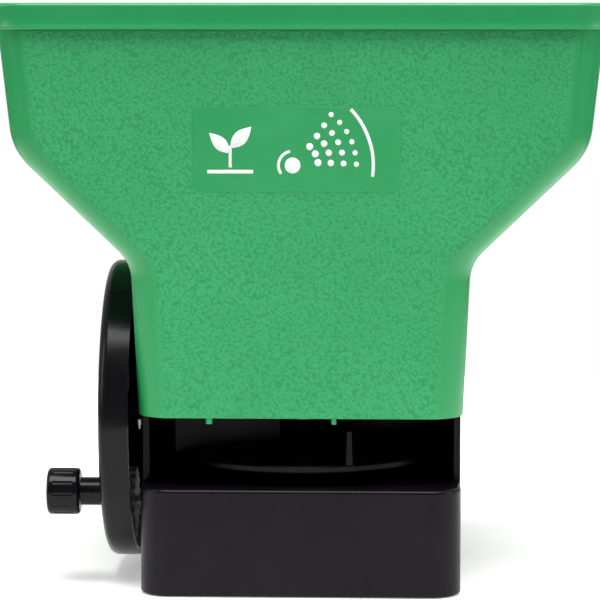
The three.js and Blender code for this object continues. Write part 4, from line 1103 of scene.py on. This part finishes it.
def flow_dial():
    low, high = dial_low, dial_high
    bottom = HANDLE_TOP_Z + GAP
    radius = (high.x - low.x) / 2
    profile = [(0, bottom), (radius, bottom), (radius, bottom + 4.4)]
    profile += rounding(1.2, radius - 1.2, bottom + 4.4, 0, 90, 5)
    profile += [(0, high.z)]
    body = turned("Z", (0, DIAL_Y), profile, 96)
    flutes = []
    for index in range(20):
        angle = math.tau * index / 20
        at = (radius * math.cos(angle), DIAL_Y + radius * math.sin(angle))
        flutes.append(bar("Z", 0.8, (bottom - 1, high.z + 1), at, 16))
    pointer = block((-0.6, 0.6), (DIAL_Y - radius + 1.6, DIAL_Y - 4.6), (high.z - 0.5, high.z + 1))
    whole = join(body, bar("Z", 4, (low.z, bottom + 1), (0, DIAL_Y)))
    whole = cut(
        whole, *flutes, pointer,
        bar("Z", 1.8, (low.z - 1, high.z + 2), (0, DIAL_Y), 24),
        bar("Z", 3.6, (bottom + 4.2, high.z + 2), (0, DIAL_Y), 40),
    )
    return finish_piece(
        whole, "flow_control_dial", "dial", GRIP_LOOK, 0.2, ("flow_dial",), segments=2,
    )


# ---------------------------------------------------------------- building

STEEL_NODES = ("impeller_shaft", "impeller_clip", "drive_shaft", "wheel_washer", "gate_link", "trigger_pin")
GREY_NODES = ("lower_bush", "upper_bush", "drive_pinion", "bevel_gear", "bevel_pinion")

def build():
    hopper()
    label()
    pictogram()
    base_housing()
    impeller_disc()
    crank_wheel()
    crank_knob()
    handle_half(-1)
    handle_half(1)
    spring_coil()
    flow_dial()
    for node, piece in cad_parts.items():
        if piece.hide_render:
            continue
        if "screw" in node or node in STEEL_NODES:
            dress(node, STEEL_LOOK, 0.12)
        elif node in GREY_NODES:
            dress(node, GREY_LOOK, 0.1)
        elif node == "knob_cap":
            dress(node, GLOSS_LOOK, 0.2)
        elif node == "trigger":
            dress(node, GRIP_LOOK, 0.5)
        else:
            dress(node, BLACK_LOOK, 0.25)


build()

# ---------------------------------------------------------------- floor, light and camera


FLOOR_RADIUS = 0.62              # metres, as are the other places here
FLOOR_DROP = 0.0002
ROOM_FRONT = 0.07                # the room's brightness in front of the object
ROOM_SIDES = 0.6
ROOM_BELOW = 0.15                # the share of it that is left under the horizon
CAMERA_AT = (0.035, -1.1443, 0.2337)
CAMERA_DOWN = 6.02               # degrees
CAMERA_LEFT = 1.845              # degrees


def add_floor():
    shape = bmesh.new()
    bmesh.ops.create_circle(shape, cap_ends=True, segments=128, radius=FLOOR_RADIUS)
    mesh = bpy.data.meshes.new("floor")
    shape.to_mesh(mesh)
    shape.free()
    mesh.materials.append(floor_paint())
    floor = add_object("floor", mesh)
    floor.location.z = cad_low.z - FLOOR_DROP


def add_panel(name, place_at, target, size, power, colour=(1, 1, 1)):
    """A soft rectangular light that faces a point. Places are in metres."""
    light = bpy.data.lights.new(name, "AREA")
    light.shape = "RECTANGLE"
    light.size, light.size_y = size
    light.energy = power
    light.color = colour
    panel = add_object(name, light)
    panel.location = place_at
    panel.rotation_euler = (Vector(target) - Vector(place_at)).to_track_quat("-Z", "Y").to_euler()


def add_world():
    """White where the camera looks. For light and reflections, bright sides and a dim front."""
    world = bpy.data.worlds.new("studio")
    bpy.context.scene.world = world
    world.use_nodes = True
    nodes, links = world.node_tree.nodes, world.node_tree.links
    parts = nodes.new("ShaderNodeSeparateXYZ")
    links.new(nodes.new("ShaderNodeTexCoord").outputs["Generated"], parts.inputs["Vector"])

    def shade(axis, low, high, start, end):
        part = nodes.new("ShaderNodeMapRange")
        links.new(parts.outputs[axis], part.inputs["Value"])
        part.inputs["From Min"].default_value = low
        part.inputs["From Max"].default_value = high
        part.inputs["To Min"].default_value = start
        part.inputs["To Max"].default_value = end
        return part.outputs["Result"]

    room = nodes.new("ShaderNodeMath")
    room.operation = "MULTIPLY"
    links.new(shade("Y", -0.85, -0.25, ROOM_FRONT, ROOM_SIDES), room.inputs[0])
    links.new(shade("Z", -0.06, 0.02, ROOM_BELOW, 1.0), room.inputs[1])
    strength = nodes.new("ShaderNodeMix")
    links.new(nodes.new("ShaderNodeLightPath").outputs["Is Camera Ray"], strength.inputs["Factor"])
    links.new(room.outputs["Value"], strength.inputs["A"])
    strength.inputs["B"].default_value = 1.0
    background = nodes["Background"]
    background.inputs["Color"].default_value = (1, 1, 1, 1)
    links.new(strength.outputs["Result"], background.inputs["Strength"])


def add_camera():
    lens = bpy.data.cameras.new("camera")
    lens.lens = 165
    lens.sensor_width = 36
    lens.clip_end = 50
    camera = add_object("camera", lens)
    camera.location = CAMERA_AT
    camera.rotation_euler = (math.radians(90 - CAMERA_DOWN), 0, math.radians(CAMERA_LEFT))
    bpy.context.scene.camera = camera


add_floor()
add_world()
add_panel("top light", (0.0, -0.45, 1.5), (0, 0, 0.1), (1.2, 0.8), 33)
add_panel("left light", (-1.5, -0.4, 0.7), (0, 0, 0.12), (0.4, 1.0), 5)
add_panel("right light", (1.5, -0.4, 0.7), (0, 0, 0.12), (0.4, 1.0), 6)
add_camera()
bpy.context.scene.view_settings.view_transform = "Standard"
